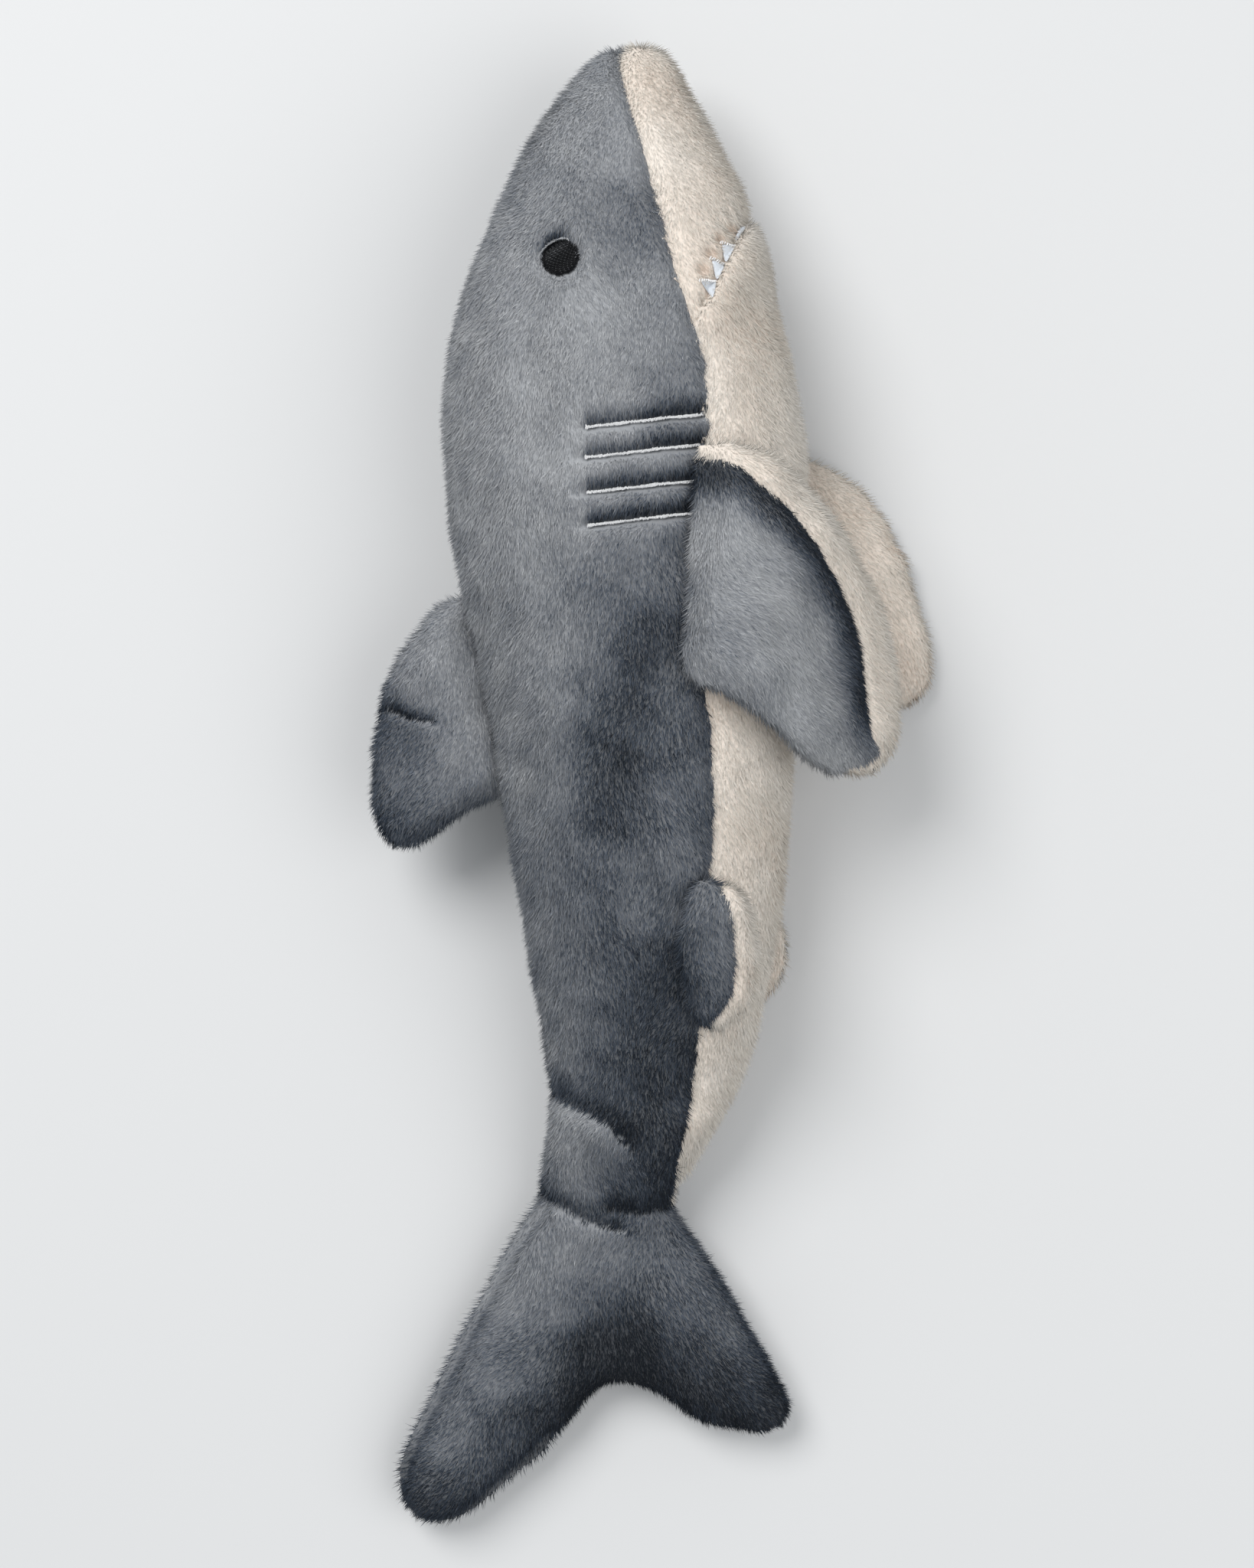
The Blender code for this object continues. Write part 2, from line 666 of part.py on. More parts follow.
def caudal_fin(hinge):
    """The tail fin: two lobes in one inflated outline."""
    columns = 19
    rows = 10
    trail = along(CAUDAL_TRAIL, columns)
    (x0, y0), (x1, _) = CAUDAL_FRONT
    across = (1 - np.cos(np.linspace(0, math.pi, columns))) / 2
    front = np.stack([x0 + (x1 - x0) * across, np.full(columns, y0 - GAP / 2)], axis=-1)
    share = np.linspace(0, 1, rows)[:, None, None]
    grid = front[None] * (1 - share) + trail[None] * share
    free = np.concatenate([grid[:, 0], grid[-1, 1:-1], grid[::-1, -1]])
    edge = distance_to(grid, free)
    depth = share[..., 0]
    full = CAUDAL_HALF_THICKNESS - CAUDAL_THINNING * np.sqrt(depth)
    roll = CAUDAL_ROLL - CAUDAL_ROLL_THINNING * depth
    thick = np.maximum(EDGE, full * swelling(edge / roll))
    surface = lifted(grid, np.maximum(full - 0.8, 0))
    lean = CAUDAL_NOTCH * np.clip(1 - CAUDAL_LEAN * depth, 0, 1)
    above = surface.copy()
    above[..., 1] -= lean * thick
    normal = np.array((0.0, 0.0, 1.0))
    for name, middle, side in (("right", above, 1), ("left", surface, -1)):
        outer = middle + side * normal * thick[..., None]
        inner_thick = hollow_thickness(thick)
        inner_thick[0, 1:-1] = np.maximum(thick[0, 1:-1] - FABRIC, 2 * GAP)
        shrink = (inner_thick / thick)[..., None]
        inner = surface + shrink * (middle - surface) + side * normal * inner_thick[..., None]
        outer[..., 2] = np.maximum(outer[..., 2], 0.0)
        inner[..., 2] = np.maximum(inner[..., 2], FABRIC)
        slab(f"caudal_panel_{name}", outer, inner, "grey_plush", hinge)
    inside = (slice(0, -1), slice(1, -1))
    core_thick = np.maximum(thick - FILL_INSET, GAP)[..., None]
    shrink = core_thick / thick[..., None]
    upper = surface + shrink * (above - surface) + normal * core_thick
    lower = surface - normal * core_thick
    lower[..., 2] = np.maximum(lower[..., 2], FILL_INSET)
    slab("caudal_filling", upper[inside], lower[inside], "fibre_fill", hinge)


def dorsal_fin(hinge):
    """The back fin, which stands out level from the back seam."""
    grid = plan_grid(DORSAL, 11, 10)
    thick = fin_thickness(grid, full=7.0, roll=9.0, root=4.4, root_blend=14.0)
    surface = lifted(grid, DORSAL_HEIGHT - DORSAL_DROOP * distance_to(grid, grid[0]))
    fin("dorsal", surface, thick, ("right", "grey_plush"), ("left", "grey_plush"), hinge)


def pectoral_fins(hinge_right, hinge_left):
    """The breast fins: grey outside, cream inside."""
    grid = plan_grid(PECTORAL_RIGHT, 13, 9)
    thick = fin_thickness(grid, full=6.2, roll=10.0, root=3.0, root_blend=26.0)
    surface = lifted(grid, height_over(grid, *PECTORAL_RIGHT_HEIGHT))
    fin("pectoral_right", surface, thick, GREY, CREAM, hinge_right)

    grid = plan_grid(PECTORAL_LEFT, 11, 9)
    thick = fin_thickness(grid, full=6.0, roll=10.0, root=1.8, root_blend=22.0)
    surface = lifted(grid, height_over(grid, *PECTORAL_LEFT_HEIGHT))
    fin("pectoral_left", surface, thick, CREAM, GREY, hinge_left, floor=True)


def pelvic_fins(hinge_right, hinge_left):
    """The small rear fins under the belly seam."""
    grid = plan_grid(PELVIC_RIGHT, 8, 7)
    thick = fin_thickness(grid, full=4.2, roll=6.0, root=2.4, root_blend=12.0)
    ground = [[skin_point(x, y, 1, 0.0)[2] for x, y in row] for row in grid]
    surface = lifted(grid, np.array(ground) + thick + PELVIC_RIGHT_CLEARANCE)
    fin("pelvic_right", surface, thick, GREY, CREAM, hinge_right)

    grid = plan_grid(PELVIC_LEFT, 8, 7)
    thick = fin_thickness(grid, full=3.8, roll=6.0, root=1.5, root_blend=12.0)
    surface = lifted(grid, height_over(grid, *PELVIC_LEFT_HEIGHT))
    fin("pelvic_left", surface, thick, CREAM, GREY, hinge_left, floor=True)


def main():
    for found in list(bpy.data.objects):
        bpy.data.objects.remove(found)
    torso()
    jaw(pivot("jaw_hinge", (*MOUTH_CORNER, MOUTH_HINGE_HEIGHT)))
    tail_stalk(pivot("stalk_hinge", STALK_HINGE))
    caudal_fin(pivot("caudal_hinge", CAUDAL_HINGE))
    dorsal_fin(pivot("dorsal_hinge", DORSAL_HINGE))
    pectoral_fins(
        pivot("pectoral_right_hinge", PECTORAL_RIGHT_HINGE),
        pivot("pectoral_left_hinge", PECTORAL_LEFT_HINGE),
    )
    pelvic_fins(
        pivot("pelvic_right_hinge", PELVIC_RIGHT_HINGE),
        pivot("pelvic_left_hinge", PELVIC_LEFT_HINGE),
    )


main()
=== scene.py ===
"""The looks of the plush shark: padded skins, pile, stitching and satin round the fixed frame.

+Z is up, +Y points to the nose and +X to the belly. Tables are in millimetres, meshes in metres.
"""

import json
import math

import bmesh
import bpy
import numpy as np
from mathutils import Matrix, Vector
from mathutils.bvhtree import BVHTree
from mathutils.kdtree import KDTree


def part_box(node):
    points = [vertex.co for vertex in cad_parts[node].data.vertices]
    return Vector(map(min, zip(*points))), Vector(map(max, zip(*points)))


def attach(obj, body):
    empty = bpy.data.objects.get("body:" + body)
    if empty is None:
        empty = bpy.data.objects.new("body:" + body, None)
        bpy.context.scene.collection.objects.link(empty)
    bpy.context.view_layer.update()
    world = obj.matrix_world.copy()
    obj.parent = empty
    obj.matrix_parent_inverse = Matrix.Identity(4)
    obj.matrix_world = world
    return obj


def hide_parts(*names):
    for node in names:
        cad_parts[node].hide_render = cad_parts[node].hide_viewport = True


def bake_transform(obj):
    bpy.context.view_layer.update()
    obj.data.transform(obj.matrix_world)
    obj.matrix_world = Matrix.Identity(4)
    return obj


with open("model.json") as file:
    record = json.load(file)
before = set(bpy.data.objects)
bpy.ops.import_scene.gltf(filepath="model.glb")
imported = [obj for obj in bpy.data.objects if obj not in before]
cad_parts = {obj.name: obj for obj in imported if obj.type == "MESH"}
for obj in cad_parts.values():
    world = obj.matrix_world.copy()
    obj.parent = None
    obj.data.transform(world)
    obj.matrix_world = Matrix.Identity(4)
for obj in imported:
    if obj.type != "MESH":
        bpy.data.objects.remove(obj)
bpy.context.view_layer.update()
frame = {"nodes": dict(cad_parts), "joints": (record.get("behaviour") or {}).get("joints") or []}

MM = 0.001
NODES = frame["nodes"]
JOINTS = {joint["name"]: joint for joint in frame["joints"]}


def heading(turn):
    """The plan direction at a turn from +X."""
    return np.array((math.cos(turn), math.sin(turn)))


def left_of(run):
    """The plan direction square to another, on its left."""
    return np.array((-run[1], run[0]))


PILE_DEPTH = 1.3  # the skin lies this far inside the toy's outline, and the pile fills the rest
PILE_LENGTH = 2.5
LOCK_ROOT = 0.35  # how deep a lock is rooted in the backing
LOCK_THICKNESS = 0.22
LOCK_WIDTH = (0.22, 0.36)
MOST_LOCKS = 49000  # locks of pile in one piece
LOWEST_PILE = 0.25  # the pile's clearance over the floor

SWELL = 1.2  # how far the filling may press the body's skin out
PRESSURE = 4.0
PRESSED_MOMENTS = 20  # how long the filling presses
CLOTH = 1.1  # thickness of the pile fabric's backing
GROUND_CLEARANCE = 1.0
FIN_CLEARANCE = 0.8
BODY_VOXEL = 2.5
FIN_VOXEL = 1.8
FIN_ROOT = 9.0  # how far from its root a fin is drawn towards the body

MOUTH_CORNER = np.array(JOINTS["jaw_open"]["pos_m"][:2]) / MM
MOUTH_RUN = heading(math.radians(64))
THROAT_RUN = heading(math.radians(-33))
JAW_BEND = 13.0  # how far along the throat the fabric would bend when the jaw opens; worked out but not used

FIRST_FOLD = JOINTS["stalk_bend"]["pos_m"][1] / MM
SECOND_FOLD = JOINTS["caudal_swish"]["pos_m"][1] / MM
TAIL_SPLIT = (FIRST_FOLD + SECOND_FOLD) / 2
TAIL_BEND = 15.0  # how far from its fold the skin would start to bend; worked out but not used
TAIL_MIDDLE = 1.5  # the skin this near to the split would move with the stalk; worked out but not used

# Where the grey flank is sewn to the cream belly: place along the toy, place across it
BELLY_SEAM = np.array(
    (
        ((216.0, -9.8), (209.4, -10.6), (202.4, -9.2), (190.4, -5.8), (176.4, -2.0), (162.9, 1.5))
        + ((150.4, 4.5), (136.4, 8.9), (121.4, 13.9), (103.4, 15.4), (83.4, 12.8), (63.4, 10.5))
        + ((41.4, 10.9), (18.4, 15.8), (-4.7, 16.6), (-27.7, 15.2), (-49.7, 13.8), (-70.7, 12.4))
        + ((-91.7, 10.0), (-106.7, 7.6), (-120.7, 5.6))
    )
)

# Where the padding reaches further than the hull: the middle, the reach, the shift
NUDGES = (
    ((-8.0, 212.0), 24.0, (0.6, 2.8)),
    ((34.0, -182.0), 20.0, (2.8, -2.2)),
    ((18.0, -163.0), 16.0, (1.6, 0.4)),
    ((-67.0, -207.0), 20.0, (-1.4, -2.4)),
    ((-52.0, -172.0), 18.0, (-1.8, 0.6)),
    ((-40.0, -186.0), 20.0, (0.6, -1.0)),
    ((10.0, -184.0), 15.0, (-0.4, -1.8)),
    ((18.0, -80.0), 26.0, (1.9, -0.4)),
    ((28.0, -10.0), 26.0, (0.8, 0.0)),
)

FIN_NUDGES = (
    ((-60.0, 54.0), 9.0, (-0.8, 3.0)),
    ((37.0, -44.0), 9.0, (0.8, 0.0)),
)

# Where the back folds at the tail's stalk, and where the stalk meets the tail fin
STALK_LINE = (
    ((-34.5, -84.0), (-31.5, -85.8), (-26.7, -89.5))
    + ((-20.5, -92.4), (-13.9, -95.2), (-10.6, -99.0))
)
TAIL_BACK_LINE = ((-34.0, -116.8), (-26.7, -121.4), (-20.5, -124.9), (-12.8, -127.1))
TAIL_FRONT_LINE = ((-12.8, -121.0), (-4.0, -122.2), (4.6, -121.4))
FURROW_LINE = ((5.5, 66.0), (-1.0, 36.0), (-7.6, 8.0), (-6.5, -18.5), (-1.0, -33.0), (9.5, -33.0))

# Pressed into the upper side: the line, depth, width towards the nose, width towards the tail
FOLDS = (
    (STALK_LINE, 2.4, 4.6, 1.9),
    (TAIL_BACK_LINE, 2.2, 4.2, 1.8),
    (TAIL_FRONT_LINE, 1.5, 3.2, 2.0),
)
FURROW = (FURROW_LINE, 1.5, 6.0, 6.0)
BULGE = ((3.6, -14.0), (9.0, 24.0), 1.6)  # the padding that stands up before the rear fin

# The grey pile's tone at places on the upper side, 0 dark to 9 light: partly the nap's own tone,
# partly painted shade and painted light from the key lamp, with a painted shadow on the flank
# beside the breast fin's root and a painted highlight along the rear fin's outer edge
NAP_AND_SHADE_TONES = np.array(
    (
        ((-19, 196, 7.2), (-8, 200, 6.4), (-30, 172, 6.4), (-12, 180, 7.0), (-5, 166, 4.2))
        + ((-10, 160, 4.6), (-20, 163, 5.6), (-34, 158, 7.2), (-42, 140, 7.0), (-12, 136, 8.2))
        + ((-22, 150, 7.0), (-2, 142, 6.0), (-51, 122, 7.6), (-34, 116, 8.0), (-18, 120, 7.8))
        + ((6, 122, 5.4), (-3, 128, 6.6), (-30, 98, 8.0), (-52, 95, 7.6), (-51, 78, 7.3))
        + ((-40, 70, 7.4), (-26, 78, 7.2), (-14, 72, 6.0), (-34, 60, 6.2), (-15, 58, 3.6))
        + ((0, 62, 4.0), (-50, 52, 7.2), (-24, 48, 6.4), (-4, 42, 1.8), (4, 44, 1.6))
        + ((-46, 30, 7.0), (-32, 28, 6.4), (-20, 30, 4.6), (-10, 24, 1.4), (1, 22, 2.2))
        + ((9, 20, 3.0), (-38, 6, 6.9), (-28, 6, 5.2), (-14, 6, 0.8), (-8, -6, 1.9))
        + ((3, -2, 3.8), (10, -4, 3.0), (-38, -20, 5.6), (-26, -22, 4.4), (-14, -24, 2.6))
        + ((-2, -20, 4.6), (6, -24, 3.6), (-1, -30, 5.0), (-34, -42, 6.4), (-24, -44, 4.2))
        + ((-12, -42, 2.4), (2, -44, 1.2), (8, -50, 1.0), (-32, -64, 6.5), (-22, -62, 4.6))
        + ((-10, -64, 2.0), (4, -70, 1.0), (-28, -78, 6.2), (-18, -80, 3.0), (-4, -84, 1.2))
        + ((-31, -103, 7.0), (-24, -101, 7.2), (-16, -104, 5.2), (-8, -110, 1.7), (1, -104, 1.0))
        + ((-26, -112, 5.0), (-24, -134, 5.8), (-15, -134, 4.8), (-4, -130, 3.4), (2, -138, 3.6))
        + ((-34, -148, 6.0), (-18, -146, 4.0), (-6, -148, 1.6), (10, -150, 2.8), (-48, -170, 4.6))
        + ((-32, -164, 3.2), (-13, -158, -2), (-22, -168, -1), (24, -160, 2.6), (16, -168, 0.2))
        + ((30, -184, 0.2), (-58, -188, 4.4), (-48, -190, 2.2), (-38, -188, 0.8), (-66, -204, 1.8))
        + ((-56, -208, 1.0), (-72, 20, 1.2), (-62, 30, 7.6), (-66, 24, 5.0), (-56, 44, 6.6))
        + ((-53, 16, 6.6), (-62, 8, 5.6), (-75, -4, 1.8), (-66, -10, 3.6), (-56, 0, 4.0))
        + ((-76, 8, 4.4), (14, -30, 3.6), (12, -42, 2.2), (19, -34, 5.2), (21, -44, 6.4))
        + ((16, -56, 3.4),)
    )
)
NAP_AND_SHADE_REACH = 9.0
UNDERSIDE_TONE = 5.0
CREAM_TONE = 2.1  # from 0, tan, to 4, light

EYE_RADIUS = 5.1
THREAD_TURN = heading(math.radians(22))  # how the eye's rows of thread lie
PIT_RUN = heading(math.radians(38))  # the long way of the dark pit beyond the eye
PIT_PLACE = np.array((-2.4, 5.4))  # from the eye's middle
GILLS = range(1, 5)

# Each tooth's tip, and where its upper edge meets the jaw, from the mouth's corner on
TEETH = (
    ((11.6, 143.8), (15.6, 144.2)),
    ((14.7, 150.4), (18.2, 149.4)),
    ((17.5, 155.2), (21.2, 155.4)),
    ((22.3, 159.8), (24.8, 161.4)),
)

# Creases where the upper lip is gathered into the mouth's front end
LIP_GATHERS = (
    ((22.0, 163.6), (19.6, 165.9)),
    ((20.2, 160.8), (17.6, 162.4)),
    ((24.2, 165.6), (22.6, 168.4)),
)

# Dimples in the upper lip over the teeth
DIMPLES = ((12.7, 147.6), (14.9, 152.6), (17.7, 157.2), (21.2, 160.6))

# A crease across the back fin
DORSAL_CREASE = ((-76.0, 24.0), (-71.0, 22.0), (-65.0, 21.1))

# The edges over which the cream lining of a fin is turned onto its grey face
BREAST_FIN_EDGE = (
    ((5.0, 97.0), (11.9, 97.9), (25.0, 96.9), (33.9, 91.9), (43.3, 84.5), (52.0, 74.1))
    + ((57.8, 64.0), (63.2, 53.1), (66.0, 42.0), (67.7, 30.1), (68.7, 19.6))
)
BREAST_FIN_TIP = ((69.2, 19.6), (68.4, 11.6), (62.0, 5.4), (54.0, 3.6))
REAR_FIN_EDGE = (
    ((21.5, -25.4), (23.6, -27.4), (25.6, -32.6), (26.6, -39.6), (27.0, -47.6), (26.5, -55.1))
    + ((24.3, -61.6), (20.4, -66.6), (17.5, -69.0))
)


# ---------------- shader arithmetic


class Strand:
    """A shader value that takes Python's arithmetic; each operation adds a Math node."""

    def __init__(self, finish, socket):
        self.finish = finish
        self.socket = socket

    def math(self, operation, first, second):
        return self.finish.node("ShaderNodeMath", {"operation": operation}, first, second)

    def __add__(self, other):
        return self.math("ADD", self, other)

    def __mul__(self, other):
        return self.math("MULTIPLY", self, other)


class Finish:
    """A material whose surface takes constants and shader values."""

    def __init__(self, name, **constants):
        self.material = bpy.data.materials.new(name)
        self.material.use_nodes = True
        self.tree = self.material.node_tree
        self.surface = self.tree.nodes["Principled BSDF"]
        for socket, value in constants.items():
            self.surface.inputs[socket.replace("_", " ")].default_value = value

    def node(self, kind, settings, *values, output=0):
        """Adds a node, its settings first, then a value or link for each input in turn."""
        made = self.tree.nodes.new(kind)
        for setting, value in settings.items():
            setattr(made, setting, value)
        for socket, value in zip(made.inputs, values):
            if isinstance(value, Strand):
                self.tree.links.new(value.socket, socket)
            elif value is not None:
                socket.default_value = value
        return Strand(self, made.outputs[output])

    def feed(self, socket, value):
        self.tree.links.new(value.socket, self.surface.inputs[socket])

    def noise(self, scale, detail):
        """Noise laid over the piece where it stands at rest."""
        place = self.node("ShaderNodeTexCoord", {}, output=3)
        return self.node("ShaderNodeTexNoise", {}, place, None, scale, detail)

    def mix(self, share, first, second):
        """Two colours mixed by a share."""
        made = self.tree.nodes.new("ShaderNodeMix")
        made.data_type = "RGBA"
        self.tree.links.new(share.socket, made.inputs["Factor"])
        made.inputs["A"].default_value = first
        made.inputs["B"].default_value = second
        return Strand(self, made.outputs["Result"])

    def relief(self, height, strength, distance):
        """Bumps in the surface."""
        made = self.tree.nodes.new("ShaderNodeBump")
        made.inputs["Strength"].default_value = strength
        made.inputs["Distance"].default_value = distance
        self.tree.links.new(height.socket, made.inputs["Height"])
        self.tree.links.new(made.outputs["Normal"], self.surface.inputs["Normal"])


def grey_tone(albedo, blue_cast):
    """A grey, bluer the darker it is: the blue is a painted reflection of a blue surround."""
    return (albedo * (1 - 0.6 * blue_cast), albedo, albedo * (1 + blue_cast))


# Ten greys from dark to light; the blue cast of the darker ones is a painted reflection.
GREY_TONES = [
    grey_tone(albedo, blue_cast)
    for albedo, blue_cast in (
        ((0.011, 0.55), (0.025, 0.48), (0.048, 0.40), (0.082, 0.30), (0.142, 0.20))
        + ((0.192, 0.13), (0.250, 0.09), (0.318, 0.06), (0.392, 0.04), (0.475, 0.03))
    )
]
CREAM_TONES = (
    ((0.62, 0.50, 0.41), (0.70, 0.625, 0.54), (0.765, 0.705, 0.625))
    + ((0.805, 0.75, 0.68), (0.85, 0.80, 0.735))
)


def plush_backing(name, dark, light):
    """The woven ground under the pile, in the pile's tone with its painted shade and light, with a
    fine nap.
    """
    finish = Finish(name, Roughness=0.9, Sheen_Weight=0.1, Sheen_Roughness=0.4)
    fibres = finish.noise(900.0, 4.0)
    tone = finish.node("ShaderNodeAttribute", {"attribute_name": "tone"}, output=2)
    share = tone * 0.8 + fibres * 0.2
    finish.feed("Base Color", finish.mix(share, (*dark, 1.0), (*light, 1.0)))
    finish.relief(fibres, 0.5, 0.0006)
    return finish.material


def pile_tones(name, tones):
    """One plain material for each tone that the pile's fibres have."""
    made = []
    for number, colour in enumerate(tones):
        whole = (*colour, 1.0)
        plain = {"Base_Color": whole, "Roughness": 0.75, "Specular_IOR_Level": 0.25}
        made.append(Finish(f"{name}_{number}", **plain).material)
    return made


GREY_GROUND = plush_backing("grey_ground", GREY_TONES[0], GREY_TONES[8])
CREAM_GROUND = plush_backing("cream_ground", CREAM_TONES[0], CREAM_TONES[4])
LINING = plush_backing("mouth_lining", (0.45, 0.40, 0.38), (0.62, 0.56, 0.53))
GREY_PILE = pile_tones("grey_pile", GREY_TONES)
CREAM_PILE = pile_tones("cream_pile", CREAM_TONES)


# ---------------- working on meshes


def alone(piece):
    """Selects one piece and nothing else."""
    bpy.ops.object.select_all(action="DESELECT")
    piece.select_set(True)
    bpy.context.view_layer.objects.active = piece


def worked(piece, kind, **settings):
    """Adds a modifier to a piece and applies it."""
    alone(piece)
    bpy.ops.object.modifier_add(type=kind)
    modifier = piece.modifiers[-1]
    for setting, value in settings.items():
        setattr(modifier, setting, value)
    bpy.ops.object.modifier_apply(modifier=modifier.name)


def placed(name, mesh):
    """A new piece at the origin."""
    piece = bpy.data.objects.new(name, mesh)
    bpy.context.scene.collection.objects.link(piece)
    return piece


def triples(items, kind):
    """Three numbers of each point or face of a mesh."""
    found = np.empty(len(items) * 3, np.float32)
    items.foreach_get(kind, found)
    return found.reshape(-1, 3).astype(float)


def points_of(piece):
    """A piece's points, in millimetres."""
    return triples(piece.data.vertices, "co") / MM


def normals_of(piece):
    return triples(piece.data.vertices, "normal")


def face_centres(piece):
    return triples(piece.data.polygons, "center") / MM


def face_normals(piece):
    return triples(piece.data.polygons, "normal")


def move_points(piece, points):
    piece.data.vertices.foreach_set("co", (points * MM).astype(np.float32).ravel())
    piece.data.update()


def turned_out(piece):
    """Turns every face of a closed piece outwards."""
    alone(piece)
    bpy.ops.object.mode_set(mode="EDIT")
    bpy.ops.mesh.select_all(action="SELECT")
    bpy.ops.mesh.normals_make_consistent(inside=False)
    bpy.ops.object.mode_set(mode="OBJECT")


def unit(vectors):
    """Vectors at a length of 1."""
    return vectors / np.maximum(np.linalg.norm(vectors, axis=-1, keepdims=True), 1e-9)


def smooth_step(share):
    """Eases from 0 to 1."""
    share = np.clip(share, 0, 1)
    return share * share * (3 - 2 * share)


def mound(distance, high, wide):
    """A soft mound's height at a distance from its middle."""
    return high * np.exp(-((distance / wide) ** 2))


def mottle(points, size, seed):
    """A smooth random field over points, about -1 to 1, with patches of a given size."""
    draw = np.random.default_rng(seed)
    waves = unit(draw.normal(size=(14, 3))) * draw.uniform(0.6, 1.3, (14, 1)) * 2 * math.pi / size
    starts = draw.uniform(0, 2 * math.pi, 14)
    return np.sin(points @ waves.T + starts).sum(axis=1) / 3.2


def off_line(points, line):
    """Each plan point's distance to a broken line, and its side of it: above 0 on the left."""
    best = np.full(len(points), np.inf)
    side = np.zeros(len(points))
    for a, b in zip(line[:-1], line[1:]):
        a, b = np.array(a), np.array(b)
        step = b - a
        share = np.clip((points - a) @ step / (step @ step), 0, 1)
        gap = points - (a + share[:, None] * step)
        distance = np.linalg.norm(gap, axis=1)
        nearer = distance < best
        best[nearer] = distance[nearer]
        side[nearer] = (step[0] * gap[:, 1] - step[1] * gap[:, 0])[nearer]
    return best, np.sign(side)


# ---------------- padded cores


def hull_over(shape, points):
    """Adds the hull of some points to a shape."""
    corners = [shape.verts.new(point * MM) for point in points]
    made = bmesh.ops.convex_hull(shape, input=corners)
    unused = made["geom_interior"] + made["geom_unused"]
    spare = {part for part in unused if isinstance(part, bmesh.types.BMVert)}
    bmesh.ops.delete(shape, geom=list(spare), context="VERTS")


def copied(names, target):
    """Adds copies of CAD nodes to a shape, with their doubled points merged."""
    for name in names:
        target.from_mesh(NODES[name].data)
    bmesh.ops.remove_doubles(target, verts=target.verts, dist=1e-6)


def made_solid(name, shape, voxel):
    """One closed skin round everything in the shape, without the remesh's loose crumbs."""
    mesh = bpy.data.meshes.new(name)
    shape.to_mesh(mesh)
    shape.free()
    piece = placed(name, mesh)
    worked(piece, "REMESH", mode="VOXEL", voxel_size=voxel * MM)
    shape = bmesh.new()
    shape.from_mesh(mesh)
    left = set(shape.verts)
    parts = []
    while left:
        edge = [left.pop()]
        part = []
        while edge:
            point = edge.pop()
            part.append(point)
            beside = {side.other_vert(point) for side in point.link_edges} & left
            left -= beside
            edge += beside
        parts.append(part)
    parts.sort(key=len)
    crumbs = [point for part in parts[:-1] for point in part]
    bmesh.ops.delete(shape, geom=crumbs, context="VERTS")
    shape.to_mesh(mesh)
    shape.free()
    return piece


def body_core():
    """The body without its openings: a hull over each short stretch, and the tail fin."""
    names = ("flank_panel_right", "flank_panel_left", "snout_panel", "belly_panel", "jaw_panel")
    names += ("stalk_panel_right", "stalk_panel_left", "stalk_panel_belly")
    names += ("caudal_panel_right", "caudal_panel_left")
    points = np.concatenate([points_of(NODES[name]) for name in names])
    shape = bmesh.new()
    copied(("caudal_panel_right", "caudal_panel_left", "caudal_filling"), shape)
    stretch, step = 9.0, 5.0
    for middle in np.arange(SECOND_FOLD + 4.0, points[:, 1].max(), step):
        near = np.abs(points[:, 1] - middle) < stretch
        hull_over(shape, points[near])
    return made_solid("body_core", shape, BODY_VOXEL)


def pulled_in(piece, depth, floor=GROUND_CLEARANCE):
    """Moves a skin inwards, and keeps it off the ground."""
    points = points_of(piece) - depth * normals_of(piece)
    points[:, 2] = np.maximum(points[:, 2], floor)
    move_points(piece, points)


def nudged(points, nudges):
    """Points after each nudge has shifted those round its middle."""
    for middle, reach, shift in nudges:
        gap = np.linalg.norm(points[:, :2] - np.array(middle), axis=1)
        points[:, :2] += np.exp(-((gap / reach) ** 2))[:, None] * np.array(shift)
    return points


def inflated(piece, held, swell):
    """Lets the filling press the skin out between the points that are held, by swell at most."""
    before = points_of(piece)
    group = piece.vertex_groups.new(name="held")
    group.add([int(i) for i in np.nonzero(held)[0]], 1.0, "REPLACE")
    alone(piece)
    bpy.ops.object.modifier_add(type="CLOTH")
    cloth = piece.modifiers[-1]
    cloth.settings.quality = 4
    cloth.settings.use_pressure = True
    cloth.settings.uniform_pressure_force = PRESSURE
    cloth.settings.effector_weights.gravity = 0.0
    cloth.settings.vertex_group_mass = "held"
    cloth.point_cache.frame_start = 1
    cloth.point_cache.frame_end = PRESSED_MOMENTS
    for moment in range(1, PRESSED_MOMENTS + 1):
        bpy.context.scene.frame_set(moment)
    bpy.ops.object.modifier_apply(modifier=cloth.name)
    piece.vertex_groups.clear()
    shift = points_of(piece) - before
    far = np.linalg.norm(shift, axis=1, keepdims=True)
    points = before + shift * np.minimum(1, swell / np.maximum(far, 1e-9))
    points[:, 2] = np.maximum(points[:, 2], GROUND_CLEARANCE)
    move_points(piece, points)


# ---------------- the body's regions


def seam_place(along):
    """Where the belly seam runs across the toy, at places along it."""
    return np.interp(along, BELLY_SEAM[::-1, 0], BELLY_SEAM[::-1, 1])


def jaw_side(points):
    """Whether a plan point lies between the mouth line and the throat line."""
    gap = points[:, :2] - MOUTH_CORNER
    return (gap @ left_of(MOUTH_RUN) < 0) & (gap @ left_of(THROAT_RUN) > 0)


RIGHT, LEFT, BELLY, JAW = range(4)


